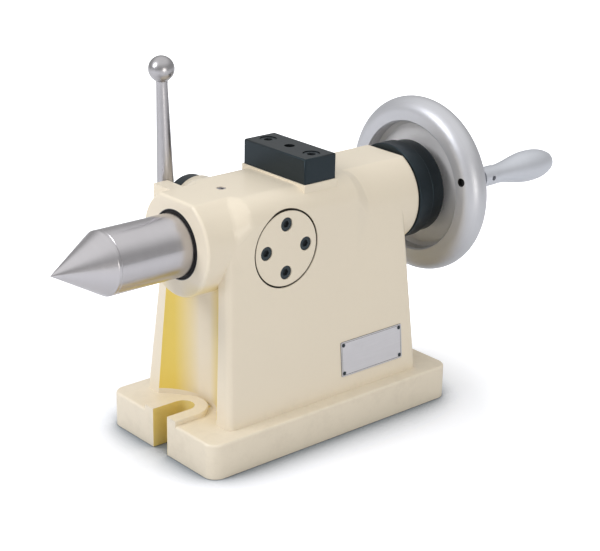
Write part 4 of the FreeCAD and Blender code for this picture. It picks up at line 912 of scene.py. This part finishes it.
def make_floor(look):
    """A wide level disc of rings and spokes just under the part.

    Near the part it keeps the shadows, and ambient occlusion paints a bluish shadow into its
    colour and takes its glow away; further off the camera sees it glow up to plain white.
    """
    rings, spokes, level = 24, 48, -0.0002
    radius, turn = np.meshgrid(np.linspace(0.02, 6.0, rings),
                               np.linspace(0, 2 * np.pi, spokes, endpoint=False), indexing="ij")
    grid = np.stack([radius * np.cos(turn), radius * np.sin(turn), 0 * radius + level], axis=-1)
    points = np.vstack([grid.reshape(-1, 3), [[0, 0, level]]])
    row, column = np.meshgrid(np.arange(rings - 1), np.arange(spokes), indexing="ij")
    after = (column + 1) % spokes
    row = row * spokes
    quads = np.stack([row + column, row + spokes + column, row + spokes + after, row + after], axis=-1)
    spoke = np.arange(spokes)
    middle = np.stack([0 * spoke + len(points) - 1, spoke, (spoke + 1) % spokes], axis=-1)
    mesh = bpy.data.meshes.new("floor")
    mesh.from_pydata(points.tolist(), [], [*quads.reshape(-1, 4).tolist(), *middle.tolist()])
    floor = bpy.data.objects.new("floor", mesh)
    bpy.context.scene.collection.objects.link(floor)
    finish = Finish("floor_paper", Roughness=0.9, Specular_IOR_Level=0.1)
    x, y, _ = finish.parts()
    far = (x * x + y * y).power(0.5).rise(0.20, 0.42)
    sky_share = finish.node("AmbientOcclusion", output="AO", settings={"samples": 8}, Distance=0.08)
    sky_share = sky_share.rise(0.50, 0.93)
    # Painted shadow: where ambient occlusion finds the part close by, the floor turns dark bluish grey
    # and its glow fades
    contact_shadow = (0.24, 0.27, 0.30, 1.0)
    finish.set("Base Color", finish.mix(sky_share, contact_shadow, solid(tuple(look.floor))))
    glow = finish.seen() * sky_share * (far * (1.0 - look.glow) + look.glow)
    finish.set("Emission Strength", 1.0)
    finish.set("Emission Color", finish.mix(glow, (0.0, 0.0, 0.0, 1.0), (1.0, 1.0, 1.0, 1.0)))
    mesh.materials.append(finish.material)


def make_sky(look):
    """Light that grows from the horizon up; the camera itself sees plain white."""
    world = bpy.data.worlds.new("studio")
    world.use_nodes = True
    graph = Graph(world.node_tree)
    background = next(node for node in graph.tree.nodes if node.type == "BACKGROUND")
    direction = graph.node("TexCoord", output="Generated")
    _, _, up = graph.parts(direction)
    light = up.rise(0.40, 0.80) * (look.sky - look.horizon) + look.horizon
    seen = graph.seen()
    graph.feed(background.inputs["Color"], (1.0, 1.0, 1.0, 1.0))
    graph.feed(background.inputs["Strength"], light * (1.0 - seen) + seen)
    bpy.context.scene.world = world


def make_lamps(look):
    """A key lamp from the left and a low warm one in front, which lights walls more than floor."""
    lamps = [
        ("key", (-1.8, 0.55, 1.45), 1.0, look.key_power, (0.97, 0.98, 1.03)),
        ("fill", (-0.5, -2.3, 0.40), 0.9, look.fill_power, (1.0, 0.955, 0.90)),
    ]
    for name, place, size, power, colour in lamps:
        data = bpy.data.lights.new(name, "AREA")
        data.shape = "DISK"
        data.size = size
        data.energy = power
        data.color = colour
        lamp = bpy.data.objects.new(name, data)
        aim = Vector((0, 0, 0.15)) - Vector(place)
        lamp.matrix_world = Matrix.Translation(place) @ aim.to_track_quat("-Z", "Y").to_matrix().to_4x4()
        bpy.context.scene.collection.objects.link(lamp)


class TAILSTOCK_PT_panel(bpy.types.Panel):
    """Lists the steps and the sizes in the 3D view's sidebar"""

    bl_idname = "TAILSTOCK_PT_panel"
    bl_label = "Tailstock"
    bl_space_type = "VIEW_3D"
    bl_region_type = "UI"
    bl_category = "Tailstock"

    def draw(self, context):
        for step in STEPS:
            self.layout.operator(step.bl_idname)
        for name, group in GROUPS.items():
            box = self.layout.box()
            for size in group.__annotations__:
                box.prop(getattr(context.scene, name), size)


STEPS = (
    TAILSTOCK_OT_packed_nodes,
    TAILSTOCK_OT_centre,
    TAILSTOCK_OT_wiper,
    TAILSTOCK_OT_lever,
    TAILSTOCK_OT_grip,
    TAILSTOCK_OT_wheel_nut,
    TAILSTOCK_OT_nameplate,
    TAILSTOCK_OT_rivets,
    TAILSTOCK_OT_stage,
)
GROUPS = {
    "tailstock_paint": TAILSTOCK_PG_paint,
    "tailstock_metal": TAILSTOCK_PG_metal,
    "tailstock_fittings": TAILSTOCK_PG_fittings,
    "tailstock_stage": TAILSTOCK_PG_stage,
}


def register():
    for name, group in GROUPS.items():
        bpy.utils.register_class(group)
        setattr(bpy.types.Scene, name, bpy.props.PointerProperty(type=group))
    for step in (*STEPS, TAILSTOCK_PT_panel):
        bpy.utils.register_class(step)


def unregister():
    for step in (*STEPS, TAILSTOCK_PT_panel):
        bpy.utils.unregister_class(step)
    for name, group in GROUPS.items():
        delattr(bpy.types.Scene, name)
        bpy.utils.unregister_class(group)


def main():
    register()
    for step in STEPS:
        prefix, _, name = step.bl_idname.partition(".")
        getattr(getattr(bpy.ops, prefix), name)()


if __name__ == "__main__":
    main()
